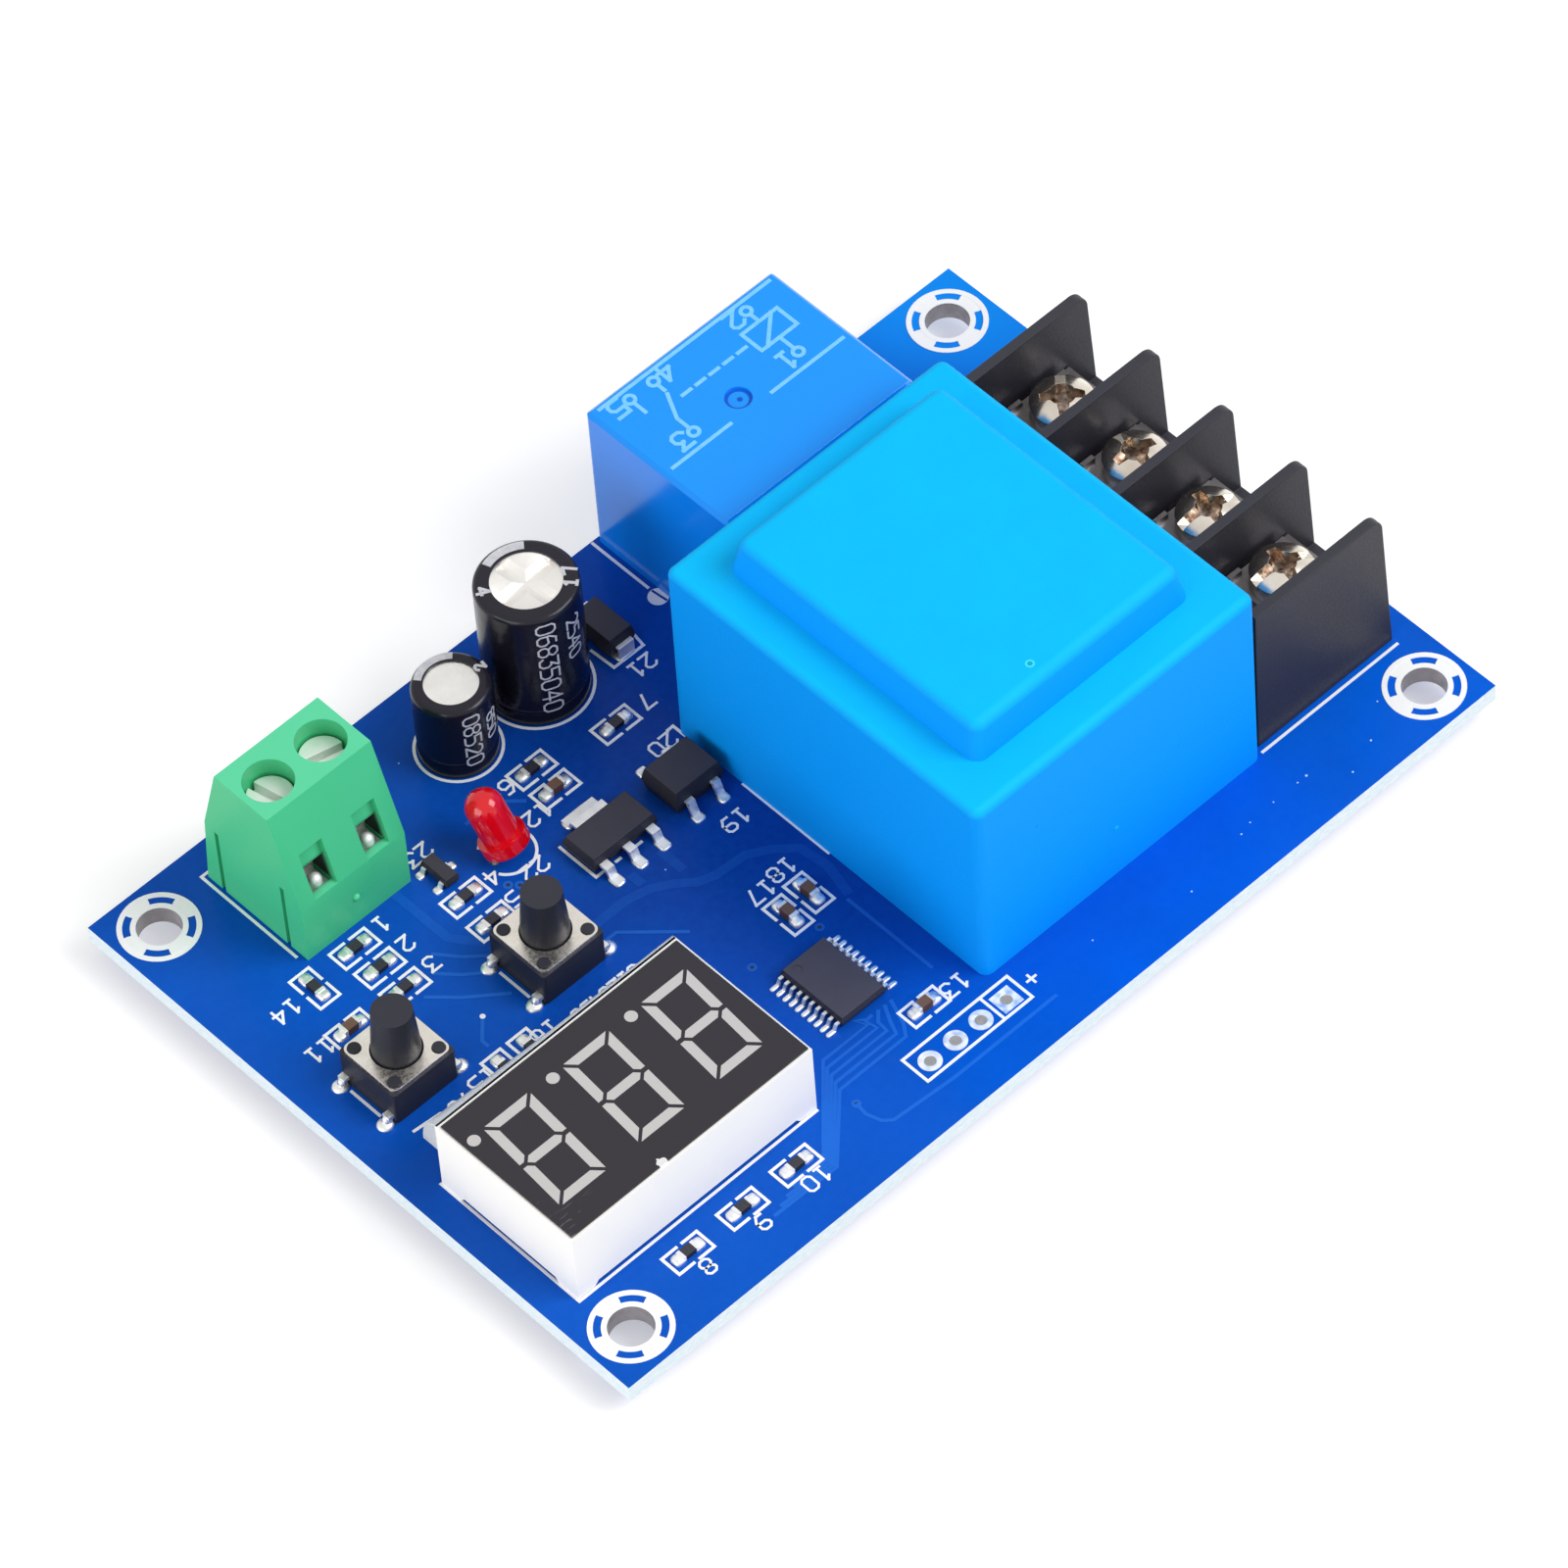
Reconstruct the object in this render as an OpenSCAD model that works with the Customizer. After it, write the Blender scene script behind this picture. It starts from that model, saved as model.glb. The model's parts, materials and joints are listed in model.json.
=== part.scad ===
// Charge control module: a board with a mains transformer, relay, terminals, display and buttons.
// Millimetres. The origin is the middle of the four mounting holes, on the board's underside.
// X runs along the board's long side, Y along its short side, and Z points up from the parts' side.

/* [Board] */
// Length of the board along X
board_length = 87.2; // [84.5:0.1:110]
// Width of the board along Y
board_width = 57.7; // [52:0.1:80]
// Thickness of the board
board_thickness = 1.6; // [1:0.1:2.4]
// Distance from the board's edges to the middle of each mounting hole
hole_inset = 3.7; // [3:0.1:4.2]
// Diameter of each mounting hole
hole_diameter = 3.5; // [2.5:0.1:4]
// How far the trimmed leads stand out below the board
lead_reach = 1.8; // [1.4:0.1:3]

/* [Transformer] */
// Size of the potted case along X
transformer_length = 28.2; // [24:0.1:31.2]
// Size of the potted case along Y
transformer_width = 32.6; // [28:0.1:34]
// Height of the case's shoulder above the board
transformer_shoulder = 18.9; // [14:0.1:24]
// Height of the raised top above the shoulder
transformer_rise = 3.3; // [1.5:0.1:5]

/* [Relay] */
// Size of the relay's case along X
relay_length = 19; // [17:0.1:19.6]
// Size of the relay's case along Y
relay_width = 15.4; // [14.5:0.1:16]
// Height of the relay's case
relay_height = 15; // [12:0.1:20]

/* [Barrier terminal] */
// Distance between the ways of the barrier terminal
barrier_pitch = 7.62; // [7.5:0.01:7.7]
// Depth of the barrier terminal from its rail to its mouth
barrier_depth = 14; // [13.6:0.1:14.2]
// Height of the partitions above the board
barrier_height = 15.1; // [13:0.1:18]
// Thickness of each partition
partition_thickness = 0.9; // [0.8:0.1:1.2]

/* [Wire terminal] */
// Distance between the two ways of the wire terminal
wire_pitch = 5.08; // [5:0.01:5.2]
// Height of the wire terminal above the board
wire_terminal_height = 14.3; // [14:0.1:16]

/* [Display] */
// Size of the display along X
display_length = 23.3; // [22.8:0.1:23.6]
// Size of the display along Y
display_width = 14.3; // [13.4:0.1:15]
// Height of the display above the board
display_height = 7.3; // [6:0.1:9]
// Height of each digit
digit_height = 8.9; // [7:0.1:9.6]
// Lean of the digits in degrees
digit_slant = 4.5; // [0:0.5:10]

/* [Buttons] */
// Side of each button's square base
button_side = 6; // [5.8:0.1:6.2]
// Height of each button's metal cover above the board
button_cover_top = 3.5; // [3.2:0.1:4.5]
// Height of each plunger's top above the board
button_height = 8; // [5:0.1:12]
// Travel of each plunger
button_travel = 0.25; // [0.15:0.05:0.4]

/* [Capacitors and lamp] */
// Diameter of the large capacitor
large_can_diameter = 8; // [6.3:0.1:8.4]
// Height of the large capacitor
large_can_height = 12.2; // [9:0.1:20]
// Diameter of the small capacitor
small_can_diameter = 6.1; // [5:0.1:6.6]
// Height of the small capacitor
small_can_height = 7.6; // [5:0.1:12]
// Diameter of the lamp's lens
lamp_diameter = 3; // [2.6:0.1:3.2]
// Lean of the lamp from upright in degrees
lamp_lean = 24; // [0:1:26]

/* [Hidden] */
$fn = 48;

// Slack between pieces that are pressed or soldered together
fit_gap = 0.02;
// Slack round a piece that moves
running_gap = 0.1;
// Length that lets a cutting shape pass its face
over = 1;

// Places on the board, from its front left corner or from the edge that each part belongs to
function from_front_left(x, y) = [x - board_length / 2, y - board_width / 2];
function from_back_left(x, y) = [x - board_length / 2, board_width / 2 - y];
function from_front_right(x, y) = [board_length / 2 - x, y - board_width / 2];
function from_back_right(x, y) = [board_length / 2 - x, board_width / 2 - y];

// The transformer stands against the terminal's rail, and keeps clear of the relay behind it
barrier_edge = 2.2;
rail_left = board_length / 2 - barrier_edge - barrier_depth;
relay_edge = 0.15;
relay_at = from_back_right(27.15, relay_edge + relay_width / 2);
relay_front = board_width / 2 - relay_edge - relay_width;
rail_clearance = 0.4;
relay_clearance = 1;
transformer_left = rail_left - rail_clearance - transformer_length;
transformer_at = [
    transformer_left + transformer_length / 2,
    min(from_front_left(0, 23.95)[1], relay_front - relay_clearance - transformer_width / 2)
];
barrier_at = from_front_right(barrier_edge + barrier_depth / 2, 24.1);
wire_terminal_at = from_back_left(14.3, 8.3);
display_at = from_front_left(14.32, 15.2);
button_at = [from_back_left(21.6, 26.1), from_back_left(6.95, 26.2)];
large_can_at = from_back_left(38.2, 6.95);
small_can_at = from_back_left(30.15, 7.1);
lamp_at = from_back_left(26.1, 16.8);

// The bridge stands beside the transformer, and the parts to its left give way to it
chip_clearance = 0.3;
bridge_clearance = 0.85;
bridge_size = [4.7, 3.9];
regulator_size = [6.4, 3.5];
chip_width = 0.8;
bridge_at = [transformer_left - bridge_clearance - bridge_size[0] / 2, from_back_left(0, 21.6)[1]];
regulator_limit = bridge_at[0] - (bridge_size[0] + regulator_size[0]) / 2 - chip_clearance;
regulator_at = [min(from_back_left(32.15, 0)[0], regulator_limit), from_back_left(0, 21.35)[1]];
diode_at = from_back_left(44.6, 7.3);
transistor_at = from_back_left(21.2, 14.9);
controller_at = from_front_left(34.24, 15);
header_at = from_front_left(38.32, 5.25);

resistors_along_x = [
    from_back_left(12.35, 15.4), from_back_left(12.45, 18), from_back_left(12.5, 20.65),
    from_back_left(21.1, 17.75), from_back_left(21, 20.75), from_back_left(32.4, 12.6),
    from_back_left(39.6, 13.95), from_front_left(10.85, 5.45), from_front_left(16.2, 5.45),
    from_front_left(21.45, 5.45)
];
resistors_along_y = [
    from_back_left(7.9, 15.95), from_front_left(12.7, 26.45), from_front_left(15.25, 26.45)
];
capacitors_along_x = [
    from_back_left(7.25, 20.55), from_back_left(32.4, 15.15), from_front_left(37.55, 9)
];
chip_limit = transformer_left - chip_clearance - chip_width / 2;
capacitors_along_y = [
    from_front_left(36.4, 22),
    [min(from_front_left(38.85, 0)[0], chip_limit), from_front_left(0, 22.4)[1]]
];

// Leads through the board: places relative to each part, and the radius that holds a lead
lead_tip = -(board_thickness + lead_reach);
transformer_pin_r = 0.4;
transformer_pins_at = [[10, 10], [10, -10], [-10, 5], [-10, -5]];
relay_pin_r = 0.45;
relay_pins_at = [[-7.1, 0], [-5.1, 6], [-5.1, -6], [7.1, 6], [7.1, -6]];
barrier_pin_r = 0.75;
barrier_leg_x = -5;
barrier_ways = 4;
function barrier_y(way) = (way - (barrier_ways - 1) / 2) * barrier_pitch;
barrier_pins_at = [for (way = [0:barrier_ways - 1]) [barrier_leg_x, barrier_y(way)]];
wire_pin_r = 0.6;
wire_axis_y = -0.2;
function wire_x(way) = (way - 0.5) * wire_pitch;
wire_pins_at = [for (way = [0:1]) [wire_x(way), wire_axis_y]];
display_pin_r = 0.25;
display_row = 10.16;
lead_pitch = 2.54;
display_pins_at = [
    for (row = [-1, 1])
        for (i = [0:row > 0 ? 4 : 5])
            [(i - 2.5) * lead_pitch, row * display_row / 2]
];
button_pin_r = 0.4;
button_pins_at = [for (x = [-3.35, 3.35]) for (y = [-2.4, 2.4]) [x, y]];
large_lead_r = 0.3;
large_leads_at = [[-1.75, 0], [1.75, 0]];
small_lead_r = 0.25;
small_leads_at = [[-1.25, 0], [1.25, 0]];
lamp_lead_r = 0.25;
lamp_leads_at = [[-1.27, 0], [1.27, 0]];
header_pins_at = [for (i = [-1.5:1:1.5]) [i * lead_pitch, 0]];
header_hole_r = 0.5;

// Each lead as x, y and radius in the board's own frame
function placed(place, spots, r) = [for (s = spots) [place[0] + s[0], place[1] + s[1], r]];
all_leads = concat(
    placed(transformer_at, transformer_pins_at, transformer_pin_r),
    placed(relay_at, relay_pins_at, relay_pin_r),
    placed(barrier_at, barrier_pins_at, barrier_pin_r),
    placed(wire_terminal_at, wire_pins_at, wire_pin_r),
    placed(display_at, display_pins_at, display_pin_r),
    placed(button_at[0], button_pins_at, button_pin_r),
    placed(button_at[1], button_pins_at, button_pin_r),
    placed(large_can_at, large_leads_at, large_lead_r),
    placed(small_can_at, small_leads_at, small_lead_r),
    placed(lamp_at, lamp_leads_at, lamp_lead_r)
);
drill_gap = 0.15;
solder_height = 1.1;
solder_spread = 0.55;
solder_neck = 0.14;

module on_board(place) {
    translate([place[0], place[1], board_thickness])
        children();
}

// Shapes shared by several parts

// Rectangle with rounded corners, centred
module rounded_plan(length, width, r) {
    square([length - 2 * r, width], center = true);
    square([length, width - 2 * r], center = true);
    for (x = [-1, 1])
        for (y = [-1, 1])
            translate([x * (length / 2 - r), y * (width / 2 - r)])
                circle(r);
}

// Upright outline with bevelled top corners, for the two sides of a box
module bevelled_side(size, height, bevel) {
    polygon([
        [-size / 2, 0], [size / 2, 0], [size / 2, height - bevel],
        [size / 2 - bevel, height], [bevel - size / 2, height], [-size / 2, height - bevel]
    ]);
}

// Box with rounded uprights and bevelled top edges
module bevelled_box(length, width, height, r, bevel) {
    intersection() {
        linear_extrude(height)
            rounded_plan(length, width, r);
        rotate([90, 0, 0])
            linear_extrude(width, center = true)
                bevelled_side(length, height, bevel);
        rotate([90, 0, 90])
            linear_extrude(length, center = true)
                bevelled_side(width, height, bevel);
    }
}

// Moulded component body that is widest at its parting line
module draft_side(size, low, high, draft) {
    middle = (low + high) / 2;
    polygon([
        [draft - size / 2, low], [size / 2 - draft, low], [size / 2, middle],
        [size / 2 - draft, high], [draft - size / 2, high], [-size / 2, middle]
    ]);
}

module moulded_body(length, width, low, high, draft) {
    intersection() {
        rotate([90, 0, 0])
            linear_extrude(width, center = true)
                draft_side(length, low, high, draft);
        rotate([90, 0, 90])
            linear_extrude(length, center = true)
                draft_side(width, low, high, draft);
    }
}

// Formed lead that leaves a body at a height, bends down and ends in a flat foot, along +X
module formed_lead(reach, rise, foot, thickness, width) {
    knee = max(reach - foot - rise * 0.35, thickness * 0.5);
    rotate([90, 0, 0])
        linear_extrude(width, center = true)
            polygon([
                [0, rise - thickness / 2], [knee - thickness * 0.4, rise - thickness / 2],
                [reach - foot - thickness * 0.4, 0], [reach, 0], [reach, thickness],
                [reach - foot + thickness * 0.4, thickness], [knee + thickness * 0.4, rise + thickness / 2],
                [0, rise + thickness / 2]
            ]);
}

// Round lead from a height above the board down to the trimmed tip
module round_lead(r, top) {
    translate([0, 0, lead_tip])
        cylinder(r = r, h = top - lead_tip);
}

// Moulded shell with drafted sides and soft edges, between two heights
module soft_block(low_size, high_size, low, high, r) {
    hull() {
        for (x = [-1, 1])
            for (y = [-1, 1]) {
                translate([x * (low_size[0] / 2 - r), y * (low_size[1] / 2 - r), low])
                    cylinder(r = r, h = 0.1, $fn = 32);
                translate([x * (high_size[0] / 2 - r), y * (high_size[1] / 2 - r), high - r])
                    sphere(r = r, $fn = 32);
            }
    }
}

// Board and solder

module circuit_board() {
    hole_x = board_length / 2 - hole_inset;
    hole_y = board_width / 2 - hole_inset;
    color("royalblue")
        difference() {
            translate([-board_length / 2, -board_width / 2, 0])
                cube([board_length, board_width, board_thickness]);
            for (x = [-1, 1])
                for (y = [-1, 1])
                    translate([x * hole_x, y * hole_y, -over])
                        cylinder(d = hole_diameter, h = board_thickness + 2 * over);
            for (lead = all_leads)
                translate([lead[0], lead[1], -over])
                    cylinder(r = lead[2] + drill_gap, h = board_thickness + 2 * over);
            for (pin = header_pins_at)
                translate([header_at[0] + pin[0], header_at[1] + pin[1], -over])
                    cylinder(r = header_hole_r, h = board_thickness + 2 * over);
        }
}

module solder_joints() {
    color("silver")
        for (lead = all_leads)
            translate([lead[0], lead[1], -solder_height])
                difference() {
                    cylinder(
                        r1 = lead[2] + solder_neck,
                        r2 = lead[2] + solder_spread,
                        h = solder_height
                    );
                    translate([0, 0, -over])
                        cylinder(r = lead[2] + fit_gap, h = solder_height + 2 * over);
                }
}

// Transformer

transformer_draft = 0.1;
shoulder_radius = 0.8;
skirt_inset = 2.6;
skirt_height = 0.35;
rise_foot_inset = 3.2;
rise_top_inset = 3.8;
rise_radius = 1;

module transformer_case() {
    base = [transformer_length, transformer_width];
    shoulder = [base[0] - 2 * transformer_draft, base[1] - 2 * transformer_draft];
    skirt = [base[0] - 2 * skirt_inset, base[1] - 2 * skirt_inset];
    rise_foot = [base[0] - 2 * rise_foot_inset, base[1] - 2 * rise_foot_inset];
    rise_top = [base[0] - 2 * rise_top_inset, base[1] - 2 * rise_top_inset];
    rise_low = transformer_shoulder - over;
    color("deepskyblue")
        on_board(transformer_at) {
            soft_block(base, shoulder, 0, transformer_shoulder, shoulder_radius);
            soft_block(skirt, rise_foot, rise_low, transformer_shoulder + skirt_height, rise_radius);
            soft_block(rise_foot, rise_top, rise_low, transformer_shoulder + transformer_rise, rise_radius);
        }
}

module transformer_pins() {
    color("silver")
        on_board(transformer_at)
            for (pin = transformer_pins_at)
                translate([pin[0], pin[1], 0])
                    round_lead(transformer_pin_r, 0);
}

// Relay

relay_corner = 0.5;
relay_bevel = 0.35;
relay_dimple_d = 2.1;
relay_dimple_depth = 0.25;
relay_dimple_at = [-0.7, 0.5];

module relay_case() {
    color("dodgerblue")
        on_board(relay_at)
            difference() {
                bevelled_box(relay_length, relay_width, relay_height, relay_corner, relay_bevel);
                translate([relay_dimple_at[0], relay_dimple_at[1], relay_height - relay_dimple_depth])
                    cylinder(d = relay_dimple_d, h = over);
            }
}

module relay_pins() {
    color("silver")
        on_board(relay_at)
            for (pin = relay_pins_at)
                translate([pin[0], pin[1], 0])
                    round_lead(relay_pin_r, 0);
}

// Barrier terminal: mouth towards +X, one bay per way

barrier_lip = 5.2;
contact_seat = 8;
contact_thickness = 0.8;
clamp_thickness = 0.8;
rail_thickness = 1.5;
rail_height = 11;
seat_front = 3.8;
seat_slope = 2;
leg_thickness = 0.8;
leg_slack = 0.12;
leg_shoulder = 1.2;
barrier_pin_width = 1.2;
partition_radius = 1.2;
partition_slant = 1;
barrier_hole_r = 1.8;
barrier_hole_floor = 2;
screw_r = 1.5;
screw_tip = 3;
screw_head_r = 2.5;
screw_head_side = 1.3;
screw_head_dome = 0.9;
clamp_half = 2.9;
clamp_ear_length = 1.2;
clamp_ear_height = 0.5;
clamp_ear_thickness = 0.4;
contact_top = contact_seat + contact_thickness;
clamp_top = contact_top + clamp_thickness;
bay_half = (barrier_pitch - partition_thickness) / 2;
barrier_width = barrier_ways * barrier_pitch + partition_thickness;

// Front of the mouldings at a height: their front edges slant back as they rise
function mouth(z) = barrier_depth / 2 - partition_slant * z / barrier_height;

// Partition with a slanted front edge and a round top corner
module partition_side() {
    lean = atan(partition_slant / barrier_height);
    middle_z = barrier_height - partition_radius;
    middle_x = mouth(middle_z) - partition_radius / cos(lean);
    polygon([
        [-barrier_depth / 2, 0], [mouth(0), 0],
        [middle_x + partition_radius * cos(lean), middle_z + partition_radius * sin(lean)],
        [middle_x, barrier_height], [-barrier_depth / 2, barrier_height]
    ]);
    translate([middle_x, middle_z])
        circle(partition_radius);
}

module barrier_housing() {
    front = barrier_depth / 2;
    color([0.17, 0.17, 0.19])
        on_board(barrier_at)
            difference() {
                union() {
                    translate([-front, -barrier_width / 2, 0])
                        cube([rail_thickness, barrier_width, rail_height]);
                    rotate([90, 0, 0])
                        linear_extrude(barrier_width, center = true)
                            polygon([
                                [-front, 0], [mouth(0), 0], [mouth(barrier_lip), barrier_lip],
                                [seat_front + seat_slope, barrier_lip], [seat_front, contact_seat],
                                [-front, contact_seat]
                            ]);
                    for (i = [0:barrier_ways])
                        translate([0, (i - barrier_ways / 2) * barrier_pitch, 0])
                            rotate([90, 0, 0])
                                linear_extrude(partition_thickness, center = true)
                                    partition_side();
                }
                for (way = [0:barrier_ways - 1])
                    translate([0, barrier_y(way), 0])
                        barrier_cuts();
            }
}

// Slot for one contact's leg and hole for one screw's end
module barrier_cuts() {
    slot = leg_thickness + 2 * leg_slack;
    translate([barrier_leg_x - slot / 2, -bay_half, leg_shoulder - leg_slack])
        cube([slot, 2 * bay_half, barrier_height]);
    translate([barrier_leg_x - slot / 2, -barrier_pin_width / 2 - leg_slack, -over])
        cube([slot, barrier_pin_width + 2 * leg_slack, leg_shoulder + over]);
    translate([0, 0, barrier_hole_floor])
        cylinder(r = barrier_hole_r, h = barrier_height);
}

// Plate under the screw, bent down into a leg that narrows to the board pin
module barrier_contacts() {
    half = bay_half - running_gap;
    leg_back = barrier_leg_x - leg_thickness / 2;
    color("silver")
        on_board(barrier_at)
            for (way = [0:barrier_ways - 1])
                translate([0, barrier_y(way), 0])
                    difference() {
                        union() {
                            translate([leg_back, -half, contact_seat])
                                cube([seat_front - leg_back, 2 * half, contact_thickness]);
                            translate([leg_back, -half, leg_shoulder])
                                cube([leg_thickness, 2 * half, contact_seat - leg_shoulder]);
                            translate([leg_back, -barrier_pin_width / 2, lead_tip])
                                cube([leg_thickness, barrier_pin_width, leg_shoulder - lead_tip]);
                        }
                        translate([0, 0, contact_seat - over])
                            cylinder(r = screw_r + running_gap, h = contact_thickness + 2 * over);
                    }
}

// Square washer with two turned-up ears that keeps the wire under the screw
module barrier_clamp(way) {
    ear_top = clamp_thickness + clamp_ear_height;
    color("gainsboro")
        on_board(barrier_at)
            translate([0, barrier_y(way), contact_top + fit_gap])
                difference() {
                    union() {
                        translate([-clamp_half, -clamp_half, 0])
                            cube([2 * clamp_half, 2 * clamp_half, clamp_thickness]);
                        for (side = [-1, 1])
                            translate([
                                -clamp_half,
                                side * (clamp_half - clamp_ear_thickness / 2) - clamp_ear_thickness / 2,
                                0
                            ])
                                cube([clamp_ear_length, clamp_ear_thickness, ear_top]);
                    }
                    translate([0, 0, -over])
                        cylinder(r = screw_r + running_gap, h = clamp_thickness + 2 * over);
                }
}

// Low domed head: a ball's cap on a short side
module domed_head(r, side, dome) {
    ball_r = (r * r + dome * dome) / (2 * dome);
    cylinder(r = r, h = side);
    intersection() {
        translate([0, 0, side])
            cylinder(r = r, h = dome);
        translate([0, 0, side + dome - ball_r])
            sphere(ball_r, $fn = 96);
    }
}

slot_width = 0.8;
slot_depth = 1;
cross_width = [1.2, 0.7];
cross_length = 3.4;
cross_depth = 1.5;
cross_pit_r = [0.5, 1.1];
barrier_screw_turn = [-14, -12, 80, 50];

// Cross recess: arms that narrow outwards, over a coned middle; its floor is at zero
module cross_recess() {
    wide = cross_width[0] / 2;
    narrow = cross_width[1] / 2;
    reach = cross_length / 2;
    for (turn = [0, 90])
        rotate([0, 0, turn])
            linear_extrude(cross_depth + over)
                polygon([
                    [-reach, -narrow], [0, -wide], [reach, -narrow],
                    [reach, narrow], [0, wide], [-reach, narrow]
                ]);
    cylinder(r1 = cross_pit_r[0], r2 = cross_pit_r[1], h = cross_depth + fit_gap, $fn = 48);
}

// Pan head screw with a slot and a cross in its head
module barrier_screw(way) {
    head_low = clamp_top + 2 * fit_gap;
    head_top = head_low + screw_head_side + screw_head_dome;
    color("silver")
        on_board(barrier_at)
            translate([0, barrier_y(way), 0])
                rotate([0, 0, barrier_screw_turn[way]])
                    difference() {
                        union() {
                            translate([0, 0, head_low])
                                domed_head(screw_head_r, screw_head_side, screw_head_dome);
                            translate([0, 0, screw_tip])
                                cylinder(r = screw_r, h = head_low - screw_tip + fit_gap);
                        }
                        translate([-screw_head_r - over, -slot_width / 2, head_top - slot_depth])
                            cube([2 * (screw_head_r + over), slot_width, slot_depth + over]);
                        translate([0, 0, head_top - cross_depth])
                            cross_recess();
                    }
}

module barrier_clamp_1() { barrier_clamp(0); }
module barrier_clamp_2() { barrier_clamp(1); }
module barrier_clamp_3() { barrier_clamp(2); }
module barrier_clamp_4() { barrier_clamp(3); }
module barrier_screw_1() { barrier_screw(0); }
module barrier_screw_2() { barrier_screw(1); }
module barrier_screw_3() { barrier_screw(2); }
module barrier_screw_4() { barrier_screw(3); }

// Wire terminal: entries in the sloped front, towards -Y

wire_body_length = 2 * wire_pitch - 0.1;
wire_front = -5.45;
wire_front_break = 5.8;
wire_top_front = -2.8;
wire_top_back = 2.9;
wire_back_break = [4.9, 7.2];
wire_back = 5.5;
wire_head_hole_r = 1.95;
wire_chamber = [4.4, 5, 5.4];
wire_chamber_low = 5.1;
wire_entry = [2.2, 2.35];
wire_entry_low = 5.95;
wire_recess_top = 10.05;
wire_recess_depth = 0.6;
wire_sill = 0.65;
groove_width = 0.4;
groove_depth = 0.5;
groove_height = 6.8;
groove_at = [-3.4, 3.7];
wire_pip_r = 0.3;

// Front face of the sloped part at a height
function wire_slope(z) = wire_front + (wire_top_front - wire_front)
    * (z - wire_front_break) / (wire_terminal_height - wire_front_break);

// Shallow window above each entry, as deep everywhere as the slope runs back
module wire_recess() {
    low = wire_entry_low + wire_entry[1] - over;
    rotate([90, 0, 90])
        linear_extrude(wire_entry[0], center = true)
            polygon([
                [wire_slope(low) - 1, low], [wire_slope(low) + wire_recess_depth, low],
                [wire_slope(wire_recess_top) + wire_recess_depth, wire_recess_top],
                [wire_slope(wire_recess_top) - 1, wire_recess_top]
            ]);
}

module wire_terminal_housing() {
    chamber_top = wire_chamber_low + wire_chamber[2];
    pit_front = wire_slope(wire_entry_low) + wire_sill;
    color("mediumseagreen")
        on_board(wire_terminal_at) {
            difference() {
                rotate([90, 0, 90])
                    linear_extrude(wire_body_length, center = true)
                        polygon([
                            [wire_front, 0], [wire_back, 0], wire_back_break,
                            [wire_top_back, wire_terminal_height], [wire_top_front, wire_terminal_height],
                            [wire_front, wire_front_break]
                        ]);
                for (way = [0:1])
                    translate([wire_x(way), wire_axis_y, 0]) {
                        translate([0, 0, chamber_top - over])
                            cylinder(r = wire_head_hole_r, h = wire_terminal_height);
                        translate([-wire_chamber[0] / 2, -wire_chamber[1] / 2, wire_chamber_low])
                            cube(wire_chamber);
                        translate([-wire_entry[0] / 2, wire_front - over, wire_entry_low])
                            cube([wire_entry[0], -wire_front, wire_entry[1]]);
                        translate([-wire_entry[0] / 2, pit_front - wire_axis_y, wire_chamber_low])
                            cube([wire_entry[0], wire_axis_y - pit_front, wire_entry[1]]);
                        translate([0, -wire_axis_y, 0])
                            wire_recess();
                        translate([-wire_pin_r, -wire_pin_r, -over])
                            cube([2 * wire_pin_r, 2 * wire_pin_r, wire_chamber_low + 2 * over]);
                    }
                for (y = groove_at)
                    translate([-wire_body_length / 2 - over, y - groove_width / 2, -over])
                        cube([groove_depth + over, groove_width, groove_height + over]);
            }
            translate([0, wire_front, wire_front_break / 2])
                sphere(wire_pip_r);
        }
}

cage_wall = 0.7;
cage_gap = 0.08;
cage_size = [for (length = wire_chamber) length - 2 * cage_gap];
cage_low = wire_chamber_low + cage_gap;
cage_floor = cage_low + cage_wall;
wire_pin_width = 0.8;
wire_screw_r = 1.2;
wire_head_r = 1.8;
wire_head_low = 10.9;
wire_head_height = 1.7;
wire_slot = [0.6, 0.9];
wire_screw_turn = [-78, -14];
leaf_size = [2.4, 3.6, 0.3];
tongue_size = [2, 2.08, 0.3];
tongue_nose = [0, 6.25];
tongue_nose_r = 0.55;

// Tongue of the frame in the entry, with a round nose turned up at its front
module wire_tongue() {
    front = -cage_size[1] / 2 - tongue_size[1];
    nose_y = front + tongue_nose_r;
    translate([-tongue_size[0] / 2, front, cage_low])
        cube([tongue_size[0], tongue_size[1] + fit_gap, tongue_size[2]]);
    translate([tongue_nose[0], nose_y, cage_low])
        cylinder(r = tongue_nose_r, h = tongue_nose[1] - cage_low);
    translate([tongue_nose[0], nose_y, tongue_nose[1]])
        sphere(tongue_nose_r);
}

// Metal frame in each chamber, with the thread at its top and the board pin below
module wire_terminal_contacts() {
    window = [cage_size[0] - 2 * cage_wall, 2 * cage_size[1], cage_size[2] - 2 * cage_wall];
    color("silver")
        on_board(wire_terminal_at)
            for (way = [0:1])
                translate([wire_x(way), wire_axis_y, 0])
                    difference() {
                        union() {
                            translate([-cage_size[0] / 2, -cage_size[1] / 2, cage_low])
                                cube(cage_size);
                            translate([-wire_pin_width / 2, -wire_pin_width / 2, lead_tip])
                                cube([wire_pin_width, wire_pin_width, cage_low - lead_tip + fit_gap]);
                            wire_tongue();
                        }
                        translate([cage_wall - cage_size[0] / 2, -cage_size[1] / 2 - fit_gap, cage_floor])
                            cube(window);
                        translate([0, 0, cage_floor])
                            cylinder(r = wire_screw_r + running_gap, h = cage_size[2]);
                    }
}

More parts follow.
